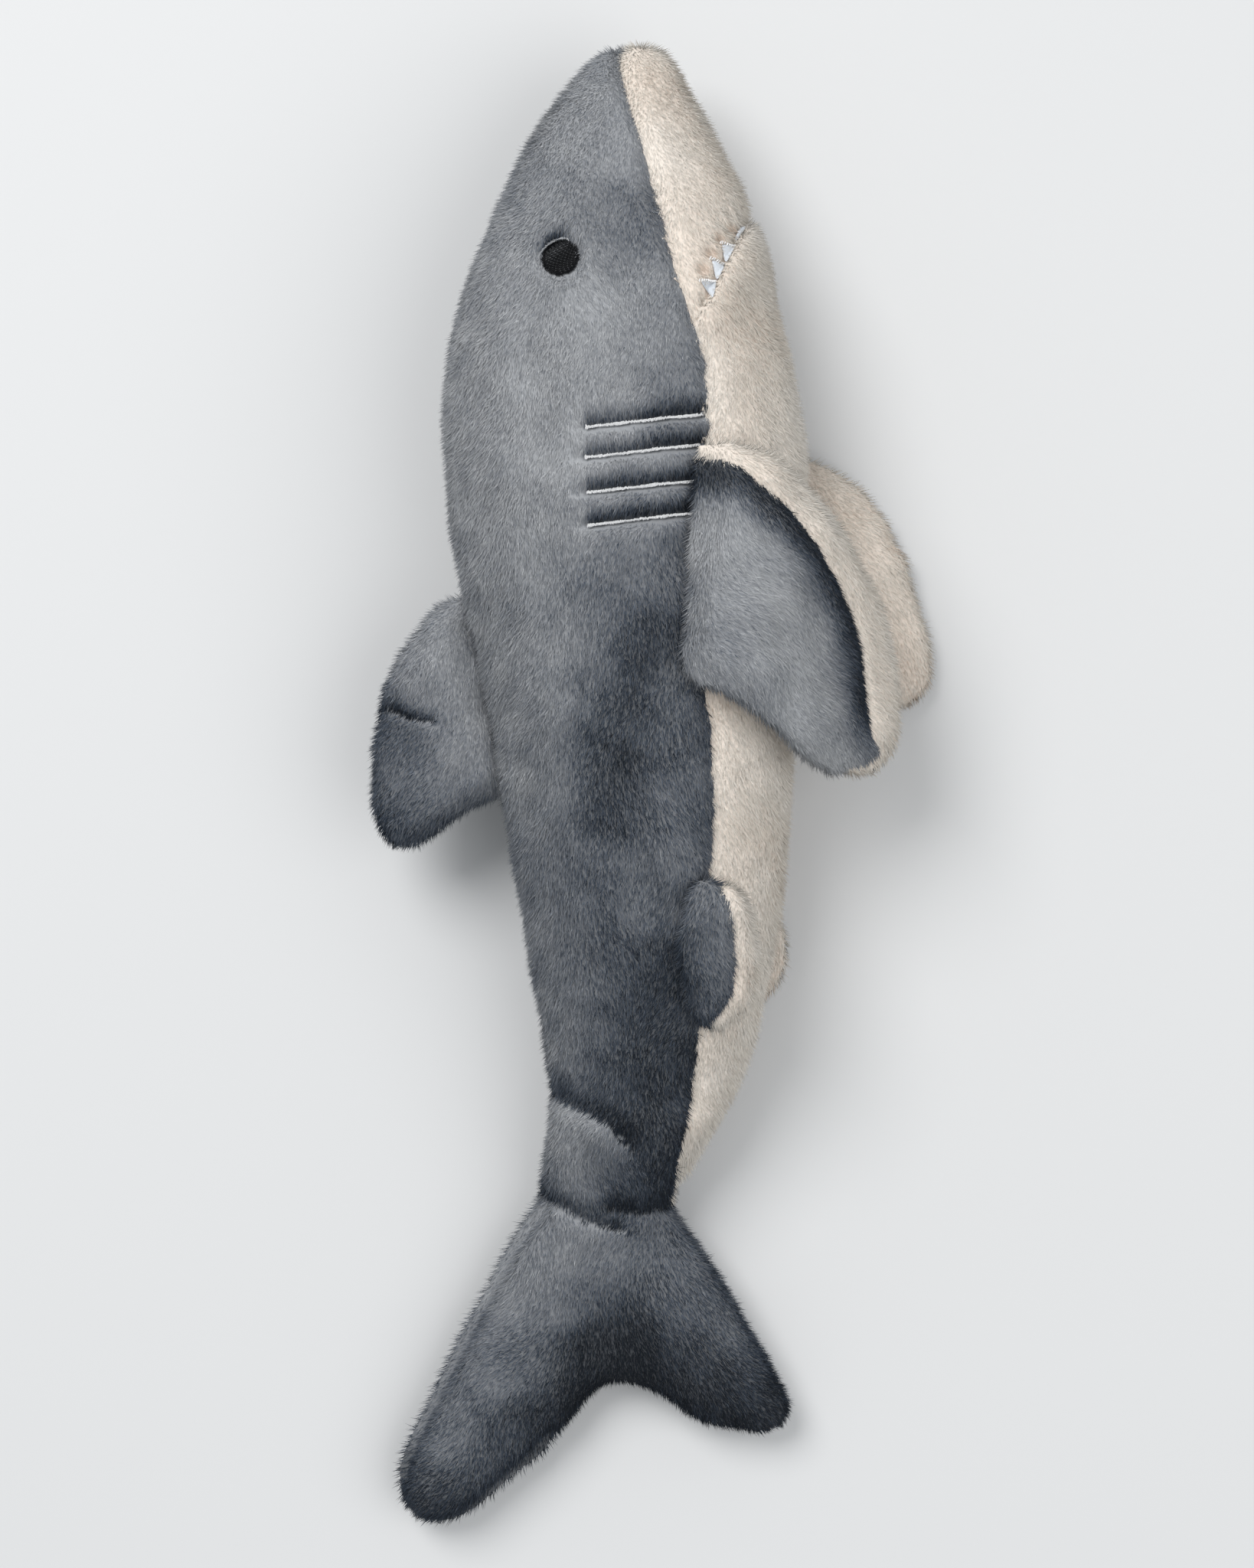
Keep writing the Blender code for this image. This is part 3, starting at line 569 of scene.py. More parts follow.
def body_regions(centres, normals):
    """The panel that each place of the body belongs to."""
    x, y = centres[:, :2].T
    upward = normals[:, 2]
    region = np.where(upward > 0, RIGHT, LEFT)
    rear = y < SECOND_FOLD
    region[rear & (x < -30) & (upward < 0.62)] = LEFT  # the lower panel's rim shows on this lobe
    region[rear & (x > 5) & (upward < -0.2)] = LEFT
    cream = (x > seam_place(y)) & (y > BELLY_SEAM[-1, 0])
    region[cream] = BELLY
    region[cream & jaw_side(centres)] = JAW
    return region


def cut(piece, chosen, place, across):
    """Cuts along an upright plane the faces that are chosen by their gap from a plan place."""
    bpy.ops.mesh.select_all(action="DESELECT")
    shape = bmesh.from_edit_mesh(piece.data)
    for face in shape.faces:
        middle = face.calc_center_median() / MM
        face.select = bool(chosen(np.array(middle[:2]) - place))
    bmesh.update_edit_mesh(piece.data)
    bpy.ops.mesh.bisect(plane_co=Vector((*place, 0.0)) * MM, plane_no=(*across, 0.0))


def snapped(piece):
    """Moves points beside the belly seam onto it, and cuts the skin at mouth, throat and tail."""
    points = points_of(piece)
    seam = seam_place(points[:, 1])
    reach = 0.7
    near = (np.abs(points[:, 0] - seam) < reach) & (points[:, 1] > BELLY_SEAM[-1, 0])
    points[near, 0] = seam[near]
    move_points(piece, points)
    alone(piece)
    bpy.ops.object.mode_set(mode="EDIT")
    bpy.ops.mesh.select_mode(type="FACE")
    for run in (MOUTH_RUN, THROAT_RUN):
        cut(piece, lambda gap: min(gap @ run, gap[0]) > -2.0, MOUTH_CORNER, left_of(run))
    cut(piece, lambda gap: abs(gap[1]) < 6.0, (0.0, TAIL_SPLIT), (0.0, 1.0))
    bpy.ops.object.mode_set(mode="OBJECT")


def seam_pull(piece, region, depth, width):
    """Draws the skin in along the lines where two regions meet."""
    edges = np.empty(len(piece.data.edges) * 2, np.int32)
    piece.data.edges.foreach_get("vertices", edges)
    touching = [set() for _ in piece.data.vertices]
    for face, part in zip(piece.data.polygons, region):
        for corner in face.vertices:
            touching[corner].add(part)
    border = [i for i, parts in enumerate(touching) if len(parts) > 1]
    points = points_of(piece)
    tree = KDTree(len(border))
    for i in border:
        tree.insert(points[i], i)
    tree.balance()
    gaps = np.array([tree.find(point)[2] for point in points])
    return mound(gaps, depth, width)


def gill_lines():
    """The two ends of each gill stitch, in plan."""
    inset = 0.6
    lines = []
    for number in GILLS:
        low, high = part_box(f"gill_stitch_right_{number}")
        lines.append(((low.x / MM, low.y / MM + inset), (high.x / MM, high.y / MM - inset)))
    return lines


def eye_middle():
    """The eye's middle, in plan."""
    low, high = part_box("eye_right")
    return np.array((low + high)[:2]) / 2 / MM


def eye_pit(plan):
    """How much of the dark pit beyond the eye is at a plan place, 0 to 1."""
    gap = plan - eye_middle() - PIT_PLACE
    along, across = gap @ PIT_RUN, gap @ left_of(PIT_RUN)
    return np.exp(-((along / 4.6) ** 2) - (across / 2.3) ** 2)


def pressed(piece):
    """Presses the mouth, gills, eyes, folds and seams into the body's skin."""
    points = points_of(piece)
    normals = normals_of(piece)
    region = body_regions(face_centres(piece), face_normals(piece))
    depth = seam_pull(piece, np.where(region == JAW, BELLY, region), 1.5, 2.6)
    plan = points[:, :2]
    flank = np.abs(normals[:, 2]) > 0.2
    distance, side = off_line(plan, (MOUTH_CORNER, MOUTH_CORNER + 60 * MOUTH_RUN))
    groove = mound(distance, 2.0, 2.6)
    roll = mound(distance - 4.5, -1.3, 5.5)
    depth += np.where(side > 0, groove, roll * smooth_step(distance / 1.2))
    for dimple in DIMPLES:
        reach = np.linalg.norm(plan - np.array(dimple), axis=1)
        depth += np.where(flank, mound(reach, 1.1, 1.9), 0)
    for gather in LIP_GATHERS:
        distance, side = off_line(plan, gather)
        depth += np.where(flank, mound(distance, 0.9, 0.9), 0)
    for line in gill_lines():
        distance, side = off_line(plan, line)
        depth += np.where(flank, mound(distance, 2.0, np.where(side > 0, 3.4, 1.6)), 0)
    reach = np.linalg.norm(plan - eye_middle(), axis=1)
    depth += np.where(flank, 1.7 * (1 - smooth_step((reach - EYE_RADIUS) / 3.5)), 0)
    depth += np.where(flank, 1.9 * eye_pit(plan), 0)
    upper = smooth_step(normals[:, 2] * 2)
    for line, deep, ahead, behind in (*FOLDS, FURROW):
        distance, side = off_line(plan, line)
        depth += upper * mound(distance, deep, np.where(side > 0, ahead, behind))
    (x, y), (wide, long), high = BULGE
    bump = ((plan[:, 0] - x) / wide) ** 2 + ((plan[:, 1] - y) / long) ** 2
    depth -= upper * high * np.exp(-bump)
    depth -= 0.35 * mottle(points, 26.0, 3) + 0.10 * mottle(points, 9.0, 4)
    moved = points - depth[:, None] * normals
    moved[:, 2] = np.maximum(moved[:, 2], GROUND_CLEARANCE)
    move_points(piece, moved)
    return region


def panel(name, skin, wanted, ground):
    """The wanted faces of a skin, as a sheet of fabric."""
    mesh = skin.data.copy()
    mesh.name = name
    piece = placed(name, mesh)
    shape = bmesh.new()
    shape.from_mesh(mesh)
    shape.faces.ensure_lookup_table()
    spare = [face for face, keep in zip(shape.faces, wanted) if not keep]
    bmesh.ops.delete(shape, geom=spare, context="FACES")
    shape.to_mesh(mesh)
    shape.free()
    mesh.materials.clear()
    mesh.materials.append(ground)
    alone(piece)
    bpy.ops.object.shade_smooth()
    return piece


# ---------------- pile


def scattered(piece, per_mm2, draw):
    """Evenly scattered places on a sheet, with the sheet's normal at each."""
    mesh = piece.data
    mesh.calc_loop_triangles()
    corners = np.empty(len(mesh.loop_triangles) * 3, np.int32)
    mesh.loop_triangles.foreach_get("vertices", corners)
    corners = corners.reshape(-1, 3)
    points, normals = points_of(piece), normals_of(piece)
    a, b, c = (points[corners[:, i]] for i in range(3))
    areas = np.linalg.norm(np.cross(b - a, c - a), axis=1) / 2
    total = areas.cumsum()
    count = int(total[-1] * per_mm2)
    picked = (np.arange(count) + draw.random(count)) / count * total[-1]
    face = np.minimum(np.searchsorted(total, picked), len(total) - 1)
    u, v = draw.random(count), draw.random(count)
    fold = u + v > 1
    u[fold], v[fold] = 1 - u[fold], 1 - v[fold]
    shares = np.stack([1 - u - v, u, v], axis=1)[:, :, None]
    place = (points[corners[face]] * shares).sum(axis=1)
    normal = unit((normals[corners[face]] * shares).sum(axis=1))
    return place, normal


def pile(name, sheet, tones, flow, per_mm2, seed, tone_and_shade, trim=None):
    """Locks of pile over a sheet: closed three-sided spikes that lie along the flow.

    It makes as many pieces as the locks need, in turn along the toy, and tones the sheet alike.
    """
    draw = np.random.default_rng(seed)
    place, normal = scattered(sheet, per_mm2, draw)
    if trim is not None:
        keep = draw.random(len(place)) < trim(place)
        place, normal = place[keep], normal[keep]
    order = np.argsort(-place[:, 1])
    place, normal = place[order], normal[order]
    count = len(place)
    nap = flow(place)
    nap = unit(nap - (nap * normal).sum(axis=1)[:, None] * normal)
    side = np.cross(normal, nap)
    turn = 0.25 * mottle(place, 36.0, seed + 1) + draw.normal(0, 0.22, count)
    nap = nap * np.cos(turn)[:, None] + side * np.sin(turn)[:, None]
    lean = 30 + 26 * (1 - np.abs(normal[:, 2])) ** 2
    lift = np.radians(lean + 5 * mottle(place, 22.0, seed + 2) + draw.normal(0, 9, count))
    along = nap * np.cos(lift)[:, None] + normal * np.sin(lift)[:, None]
    across = unit(np.cross(normal, nap))
    up = np.cross(along, across)
    long = PILE_LENGTH * draw.uniform(0.7, 1.2, count)[:, None]
    long *= 1 + 0.4 * (1 - np.abs(normal[:, 2:3])) ** 2
    half = draw.uniform(*LOCK_WIDTH, count)[:, None] / 2 * across
    root = place - LOCK_ROOT * normal
    corners = [root - half, root + half, root + LOCK_THICKNESS * up, root + long * along]
    locks = np.stack(corners, axis=1)
    locks[:, :, 2] = np.maximum(locks[:, :, 2], LOWEST_PILE)
    facing = unit(normal + 0.25 * along + draw.normal(0, 0.22, (count, 3)))
    # The tone function's painted shade and light go into each lock's tone.
    shade = tone_and_shade(place, normal) + 0.04 * len(tones) * mottle(place, 12.0, 8)
    shade += draw.normal(0, 0.10 * len(tones), count)
    shade = np.clip(np.round(shade), 0, len(tones) - 1).astype(np.int32)
    # The sheet under the locks takes the same tone, painted shade and light included.
    ground = tone_and_shade(points_of(sheet), normals_of(sheet)) / (len(tones) - 1)
    tone = sheet.data.attributes.new("tone", "FLOAT", "POINT")
    tone.data.foreach_set("value", np.clip(ground, 0, 1).astype(np.float32))
    made = []
    parts = math.ceil(count / MOST_LOCKS)
    for number, chosen in enumerate(np.array_split(np.arange(count), parts), 1):
        end = f"_{number}" if parts > 1 else ""
        made.append(lock_mesh(name + end, locks[chosen], facing[chosen], shade[chosen], tones))
    return made


def lock_mesh(name, locks, facing, shade, tones):
    """One piece of pile, from each lock's four points, the way that it faces and its tone."""
    count = len(locks)
    faces = np.array(((0, 2, 1), (0, 1, 3), (1, 2, 3), (2, 0, 3)))
    faces = (faces[None] + 4 * np.arange(count)[:, None, None]).ravel().astype(np.int32)
    mesh = bpy.data.meshes.new(name)
    mesh.vertices.add(count * 4)
    mesh.vertices.foreach_set("co", (locks * MM).astype(np.float32).ravel())
    mesh.loops.add(count * 12)
    mesh.loops.foreach_set("vertex_index", faces)
    mesh.polygons.add(count * 4)
    mesh.polygons.foreach_set("loop_start", np.arange(0, count * 12, 3, dtype=np.int32))
    for material in tones:
        mesh.materials.append(material)
    mesh.polygons.foreach_set("material_index", np.repeat(shade, 4))
    mesh.update(calc_edges=True)
    mesh.normals_split_custom_set_from_vertices(np.repeat(facing, 4, axis=0).tolist())
    return placed(name, mesh)


def grey_nap_and_shade_tone(place, normal):
    """The grey pile's tone: the nap's tone with painted shade and light from the table, and painted
    shade over each fold, gill and crease with painted light under it.
    """
    plan = place[:, :2]
    gap = plan[:, None] - NAP_AND_SHADE_TONES[None, :, :2]
    weight = np.exp(-((gap**2).sum(axis=2) / NAP_AND_SHADE_REACH**2)) + 1e-9
    tone = (weight @ NAP_AND_SHADE_TONES[:, 2]) / weight.sum(axis=1)
    # Painted shade on the nose side of each fold, painted light on the tail side.
    for line, deep, ahead, behind in FOLDS:
        distance, side = off_line(plan, line)
        over = np.where(side > 0, mound(distance, 1.0, 5.5), 0)
        under = np.where(side < 0, mound(distance - 1.5, 1.0, 4.0), 0)
        tone += 1.6 * deep * (under * 0.25 - over)
    # Painted shade above each gill line, painted light below it.
    for line in gill_lines():
        distance, side = off_line(plan, line)
        over = np.where(side > 0, mound(distance, 1.0, 5.0), 0)
        over *= smooth_step((plan[:, 0] - line[0][0] + 1.2) / 1.8)
        under = np.where(side < 0, mound(distance - 2.5, 1.0, 2.0), 0)
        tone += 0.6 * under - 6.4 * over
    # Painted shade on one side of the back fin's crease, painted light on the other.
    distance, side = off_line(plan, DORSAL_CREASE)
    tone += mound(distance, np.where(side > 0, -4.0, 1.0), 2.4)
    # Painted shade in the pit beyond the eye.
    tone -= 6.5 * eye_pit(plan)
    upper = smooth_step(normal[:, 2] * 2 + 0.8)
    return upper * tone + (1 - upper) * UNDERSIDE_TONE


def cream_tone(place, normal):
    """The cream pile's tone: even, with painted shade near the floor and in the lip's dimples."""
    tone = CREAM_TONE + 0.45 * mottle(place, 40.0, 21)
    # Painted shade, deeper towards the floor.
    tone -= 0.9 * smooth_step((26.0 - place[:, 2]) / 22.0)
    # Painted shade in each dimple of the lip.
    for dimple in DIMPLES:
        tone -= mound(np.linalg.norm(place[:, :2] - np.array(dimple), axis=1), 2.6, 1.7)
    return tone


def breast_fin_nap_and_shade(place, normal):
    """The breast fin's grey face is dark in a band inside its seam and pale in the middle: partly
    the nap's lean, partly painted shade where the fin curves away from the key light.
    """
    distance, side = off_line(place[:, :2], BREAST_FIN_EDGE)
    band = mound(np.maximum(distance - 9.5, 0), 1.0, 7.0)
    band *= 0.45 + 0.55 * smooth_step((place[:, 1] - 13.0) / 12.0)
    return 8.1 - 7.5 * band - 1.6 * smooth_step((distance - 30) / 12)


def tailwards(place):
    """The body's nap: to the tail, and outwards along the two lobes behind the second fold."""
    flow = np.zeros_like(place)
    flow[:, 1] = -1.0
    behind = np.clip((SECOND_FOLD - place[:, 1]) / 40, 0, 1)
    flow[:, 0] = np.clip((place[:, 0] + 15) / 30, -1, 1) * 0.75 * behind
    flow[:, 2] = -0.15
    return flow


def bare_mouth(place):
    """The share of cream pile left standing: none over the satin teeth."""
    plan = place[:, :2]
    share = np.ones(len(place))
    below = MOUTH_CORNER
    for tip, inner in TEETH:
        tip, inner = np.array(tip), np.array(inner)
        edges = ((below, inner), (inner, tip), (tip, below))
        inside = np.ones(len(place), bool)
        for a, b in edges:
            inside &= (b[0] - a[0]) * (plan[:, 1] - a[1]) - (b[1] - a[1]) * (plan[:, 0] - a[0]) > 0
        share[inside] = 0
        below = inner
    return share


def bare_round_stitching(place):
    """The share of pile left standing: none over the eye's thread and the gill stitches."""
    plan = place[:, :2]
    share = np.ones(len(place))
    share[np.linalg.norm(plan - eye_middle(), axis=1) < EYE_RADIUS + 0.1] = 0
    for line in gill_lines():
        distance, side = off_line(plan, line)
        share[(distance < 0.8) | ((side > 0) & (distance < 2.0))] = 0
    return share


# ---------------- assembling the body


def backed(piece):
    """Gives a sheet the thickness of its backing, inwards."""
    worked(piece, "SOLIDIFY", thickness=CLOTH * MM, offset=-1.0, use_even_offset=False)


def follow_tail(piece, ahead):
    """Bakes the piece's place into its mesh; where it would bend with the stalk or the tail fin is
    worked out but not used.
    """
    start = FIRST_FOLD + TAIL_BEND if ahead else TAIL_SPLIT - TAIL_MIDDLE
    end = TAIL_SPLIT + TAIL_MIDDLE if ahead else SECOND_FOLD - TAIL_BEND
    start * MM
    end * MM
    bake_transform(piece)


def follow_jaw(piece):
    """Bakes the piece's place into its mesh; where it would bend along the throat is worked out but
    not used.
    """
    end = MOUTH_CORNER + JAW_BEND * left_of(THROAT_RUN)
    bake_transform(piece)


def lining(name, skin, lift, stands_for):
    """A flat lining over the skin's section at the mouth, on the lip's or the jaw's side of it."""
    upward = left_of(MOUTH_RUN)
    points = points_of(skin)
    gap = points[:, :2] - MOUTH_CORNER
    section = (np.abs(gap @ upward) < 0.02) & (gap @ MOUTH_RUN > 0.3)
    rim = np.stack([gap[section] @ MOUTH_RUN, points[section, 2]], axis=1)
    rim = np.concatenate([rim, [(0.2, rim[:, 1].max() - 1.0), (0.2, rim[:, 1].min() + 1.0)]])
    middle = (rim.max(axis=0) + rim.min(axis=0)) / 2
    rim = rim[np.argsort(np.arctan2(*(rim - middle).T))]
    count = len(rim)
    rings = [middle + share * (rim - middle) for share in (0.94, 0.6, 0.3)]
    flat = np.concatenate([*rings, [middle]])
    plan = MOUTH_CORNER + flat[:, :1] * MOUTH_RUN + lift * upward
    mesh = bpy.data.meshes.new(name)
    faces = []
    for k in range(count):
        nxt = (k + 1) % count
        for ring in (0, count):
            faces.append((ring + k, ring + nxt, ring + count + nxt, ring + count + k))
        faces.append((2 * count + k, 2 * count + nxt, 3 * count))
    points = np.column_stack([plan, flat[:, 1]]) * MM
    mesh.from_pydata([tuple(point) for point in points], [], faces)
    mesh.materials.append(LINING)
    piece = placed(name, mesh)
    worked(piece, "SOLIDIFY", thickness=0.5 * MM, offset=0.0)
    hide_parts(stands_for)
    return piece


PLUSH = {
    "grey": (GREY_GROUND, GREY_PILE, grey_nap_and_shade_tone),
    "cream": (CREAM_GROUND, CREAM_PILE, cream_tone),
}


def plush(name, skin, wanted, colour, flow, per_mm2, seed, trim=None, tone_and_shade=None):
    """A sheet of plush cut from a skin, and the pieces of pile that stand on it."""
    ground, tones, usual = PLUSH[colour]
    sheet = panel(name, skin, wanted, ground)
    locks = pile(f"{name}_pile", sheet, tones, flow, per_mm2, seed, tone_and_shade or usual, trim)
    backed(sheet)
    return sheet, (sheet, *locks)


TAIL_RIGHT_NODES = ("stalk_panel_right", "caudal_panel_right", "stalk_filling")
TAIL_LEFT_NODES = ("stalk_panel_left", "caudal_panel_left", "caudal_filling")

# Each sheet of the body: its region, whether it lies ahead of the tail's split, its colour, its
# locks of pile per mm2, and the pieces that it stands for
BODY_SHEETS = {
    "flank_right": (RIGHT, True, "grey", 4.8, ("flank_panel_right", "torso_filling")),
    "flank_left": (LEFT, True, "grey", 1.2, ("flank_panel_left",)),
    "belly": (BELLY, True, "cream", 3.3, ("belly_panel", "snout_panel")),
    "jaw_skin": (JAW, True, "cream", 4.5, ("jaw_panel", "jaw_filling")),
    "tail_right": (RIGHT, False, "grey", 4.8, TAIL_RIGHT_NODES),
    "tail_left": (LEFT, False, "grey", 1.3, TAIL_LEFT_NODES),
    "tail_belly": (BELLY, False, "cream", 4.0, ("stalk_panel_belly",)),
}


def body_skin():
    """The body's whole skin, padded out between its seams."""
    skin = body_core()
    worked(skin, "SMOOTH", factor=0.5, iterations=8)
    behind = smooth_step((SECOND_FOLD + 4.0 - points_of(skin)[:, 1:2]) / 22.0)
    depth = PILE_DEPTH + ((0.35 * SWELL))
    pulled_in(skin, depth - 2.3 * behind * (1 - normals_of(skin)[:, 2:3] ** 2))
    move_points(skin, nudged(points_of(skin), NUDGES))
    points = points_of(skin)
    seam = np.abs(points[:, 0] - seam_place(points[:, 1])) < BODY_VOXEL * 0.6
    seam &= points[:, 1] > BELLY_SEAM[-1, 0]
    rim = np.abs(normals_of(skin)[:, 2]) < 0.12
    rear = points[:, 1] < SECOND_FOLD
    inflated(skin, seam | (rim & rear), SWELL)
    worked(skin, "SMOOTH", factor=0.5, iterations=3)
    worked(skin, "SUBSURF", levels=1, render_levels=1)
    snapped(skin)
    return skin


def body():
    """The body's sheets and their pile, and the mouth's lining. Gives the skin to embroider."""
    skin = body_skin()
    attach(lining("lip_lining", skin, 0.5, "mouth_lining_upper"), "torso")
    follow_jaw(lining("jaw_lining", skin, -0.5, "mouth_lining_lower"))
    region = pressed(skin)
    front = face_centres(skin)[:, 1] > TAIL_SPLIT
    for number, (name, plan) in enumerate(BODY_SHEETS.items()):
        part, ahead, colour, per_mm2, stands_for = plan
        wanted = (region == part) & (front == ahead)
        trim = bare_round_stitching if colour == "grey" else bare_mouth
        sheet, pieces = plush(name, skin, wanted, colour, tailwards, per_mm2, 10 + number, trim)
        for piece in pieces:
            if part == JAW:
                follow_jaw(piece)
            else:
                follow_tail(piece, ahead)
        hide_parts(*stands_for)
    tree = BVHTree.FromObject(skin, bpy.context.evaluated_depsgraph_get())
    bpy.data.objects.remove(skin)
    return tree


# ---------------- fins


def fin(name, faces, flow, root, wrap=(), swell=1.0):
    """A padded fin of two panels sewn at their rims, each with its pile.

    faces holds the upper and lower panel's name, its colour and its pile per mm2. root is the line
    along which the fin is sewn on, and how far its edge is tucked in there. wrap holds the edges
    over which the lower panel is turned onto the upper face, and how far it reaches over each.
    """
    stands_for = [f"{name}_panel_{end}" for end, _, _ in faces] + [f"{name}_filling"]
    shape = bmesh.new()
    copied(stands_for, shape)
    core = made_solid(f"{name}_core", shape, FIN_VOXEL)
    worked(core, "SMOOTH", factor=0.5, iterations=8)
    pulled_in(core, -0.4, floor=FIN_CLEARANCE)
    line, tuck = root
    points = points_of(core)
    from_root, side = off_line(points[:, :2], line)
    points += (1 - smooth_step(from_root / FIN_ROOT))[:, None] * np.array(tuck)
    points[:, 2] = np.maximum(points[:, 2], FIN_CLEARANCE)
    move_points(core, nudged(points, FIN_NUDGES))
    inflated(core, np.abs(normals_of(core)[:, 2]) < 0.35, swell)
    worked(core, "SUBSURF", levels=1, render_levels=1)
    region = fin_regions(core, faces, line, wrap)
    depth = seam_pull(core, region, 0.9, 1.8)
    points = points_of(core)
    depth -= 0.3 * mottle(points, 14.0, len(name))
    distance, side = off_line(points[:, :2], DORSAL_CREASE)
    depth += mound(distance, 1.3, 1.7)
    moved = points - depth[:, None] * normals_of(core)
    moved[:, 2] = np.maximum(moved[:, 2], 0.7)
    move_points(core, moved)
    for part, (end, colour, per_mm2) in enumerate(faces):
        wanted = region == part
        seed = len(name) + 7 * part
        tone = breast_fin_nap_and_shade if (name, colour) == ("pectoral_right", "grey") else None
        sheet_name = f"{name}_{end}"
        sheet, pieces = plush(sheet_name, core, wanted, colour, flow, per_mm2, seed, None, tone)
        for piece in pieces:
            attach(piece, "dorsal_fin" if name == "dorsal" else name)
        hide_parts(*(stands_for[part::2]))
    bpy.data.objects.remove(core)


def fin_regions(core, faces, line, wrap):
    """The panel, 0 or 1, that each place of a fin belongs to."""
    centres, normals = face_centres(core), face_normals(core)
    rim = -0.45 if "cream" in (faces[0][1], faces[1][1]) else 0.0
    region = np.where(normals[:, 2] > rim, 0, 1)
    from_root, side = off_line(centres[:, :2], line)
    if wrap:
        region[(from_root < FIN_ROOT) & (normals[:, 2] > -0.95)] = 0
    for edge, reach in wrap:
        distance, side = off_line(centres[:, :2], edge)
        wider = 0.55 + 0.45 * smooth_step(from_root / (2.6 * reach))
        region[distance < reach * wider] = 1
    return region


def towards(x, y):
    """A nap that lies the same way all over."""
    direction = unit(np.array((x, y, 0.0)))
    return lambda place: np.broadcast_to(direction, place.shape)


def fins():
    """The back fin, and the breast and rear fins with cream beneath on this side, grey beyond."""
    both_grey = (("right", "grey", 4.8), ("left", "grey", 1.5))
    grey_over = (("grey", "grey", 4.8), ("cream", "cream", 2.9))
    cream_over = (("cream", "cream", 3.5), ("grey", "grey", 1.3))
    back_root = ((-57.3, 55.4), (-45.5, -1.7))
    breast_root = ((11.9, 98.0), (8.6, 33.3))
    far_breast_root = ((27.0, 99.8), (27.0, 39.4))
    rear_root = ((13.6, -23.6), (8.6, -41.6))
    far_rear_root = ((22.3, -26.6), (21.4, -46.6))
    breast_nap = towards(0.5, -0.86)
    rear_nap = towards(0.25, -0.97)
    fin("dorsal", both_grey, towards(-0.35, -0.94), (back_root, (4.5, 0.9, 0.0)))
    wrap = ((BREAST_FIN_EDGE, 8.2), (BREAST_FIN_TIP, 3.4))
    fin("pectoral_right", grey_over, breast_nap, (breast_root, (-1.6, 0.0, -3.2)), wrap, 1.2)
    fin("pectoral_left", cream_over, breast_nap, (far_breast_root, (-3.0, 0.0, 0.0)))
    wrap = ((REAR_FIN_EDGE, 4.6),)
    fin("pelvic_right", grey_over, rear_nap, (rear_root, (-2.6, 1.0, -2.2)), wrap, 0.8)
    fin("pelvic_left", cream_over, rear_nap, (far_rear_root, (-2.5, 0.0, 0.0)), swell=0.6)


# ---------------- embroidery and satin


def thread_finish(name, colour, roughness):
    """Thread or satin, with fine strands in it."""
    finish = Finish(name, Roughness=roughness, Specular_IOR_Level=0.5)
    strands = finish.noise(2600.0, 2.0)
    dark = tuple(0.72 * part for part in colour)
    finish.feed("Base Color", finish.mix(strands, (*dark, 1.0), (*colour, 1.0)))
    finish.relief(strands, 0.4, 0.0002)
    return finish.material


WHITE_THREAD = thread_finish("white_thread", (0.90, 0.90, 0.90), 0.4)
BLACK_THREAD = thread_finish("black_thread", (0.006, 0.0065, 0.008), 0.36)
WHITE_SATIN = thread_finish("white_satin", (0.70, 0.74, 0.79), 0.28)


def on_skin(tree, plan, side, lift):
    """The point over a plan place on one side of the skin, lifted off it, and its normal."""
    x, y = plan
    for aside in (0.0, 0.07, -0.07, 0.2, -0.2):
        start = Vector(((x + aside) * MM, (y - aside) * MM, 0.2 * side))
        found, normal, face, gap = tree.ray_cast(start, Vector((0.0, 0.0, -side)))
        if found is not None:
            break
    return np.array(found) / MM + lift * np.array(normal), np.array(normal)


def stitches(name, tree, side, lines, width, height, material, lift=0.3, steps=6):
    """Threads over the skin: each a closed four-sided strand, thin at its ends."""
    points, faces = [], []
    for start, end in lines:
        base = len(points)
        start, end = np.array(start), np.array(end)
        run = unit(end - start)
        for step in range(steps + 1):
            share = step / steps
            middle, normal = on_skin(tree, start + share * (end - start), side, lift)
            across = unit(np.cross(normal, (*run, 0.0)))
            full = 0.25 + 0.75 * math.sqrt(max(0.0, 1 - (2 * share - 1) ** 4))
            points += [
                middle - width / 2 * full * across,
                middle - 0.35 * height * normal,
                middle + width / 2 * full * across,
                middle + height * full * normal,
            ]
        for step in range(steps):
            for k in range(4):
                a, b = base + 4 * step + k, base + 4 * step + (k + 1) % 4
                faces.append((a, b, b + 4, a + 4))
        last = base + 4 * steps
        faces.append((base + 3, base + 2, base + 1, base))
        faces.append((last, last + 1, last + 2, last + 3))
    mesh = bpy.data.meshes.new(name)
    mesh.from_pydata([tuple(point * MM) for point in points], [], faces)
    mesh.materials.append(material)
    piece = placed(name, mesh)
    turned_out(piece)
    return piece


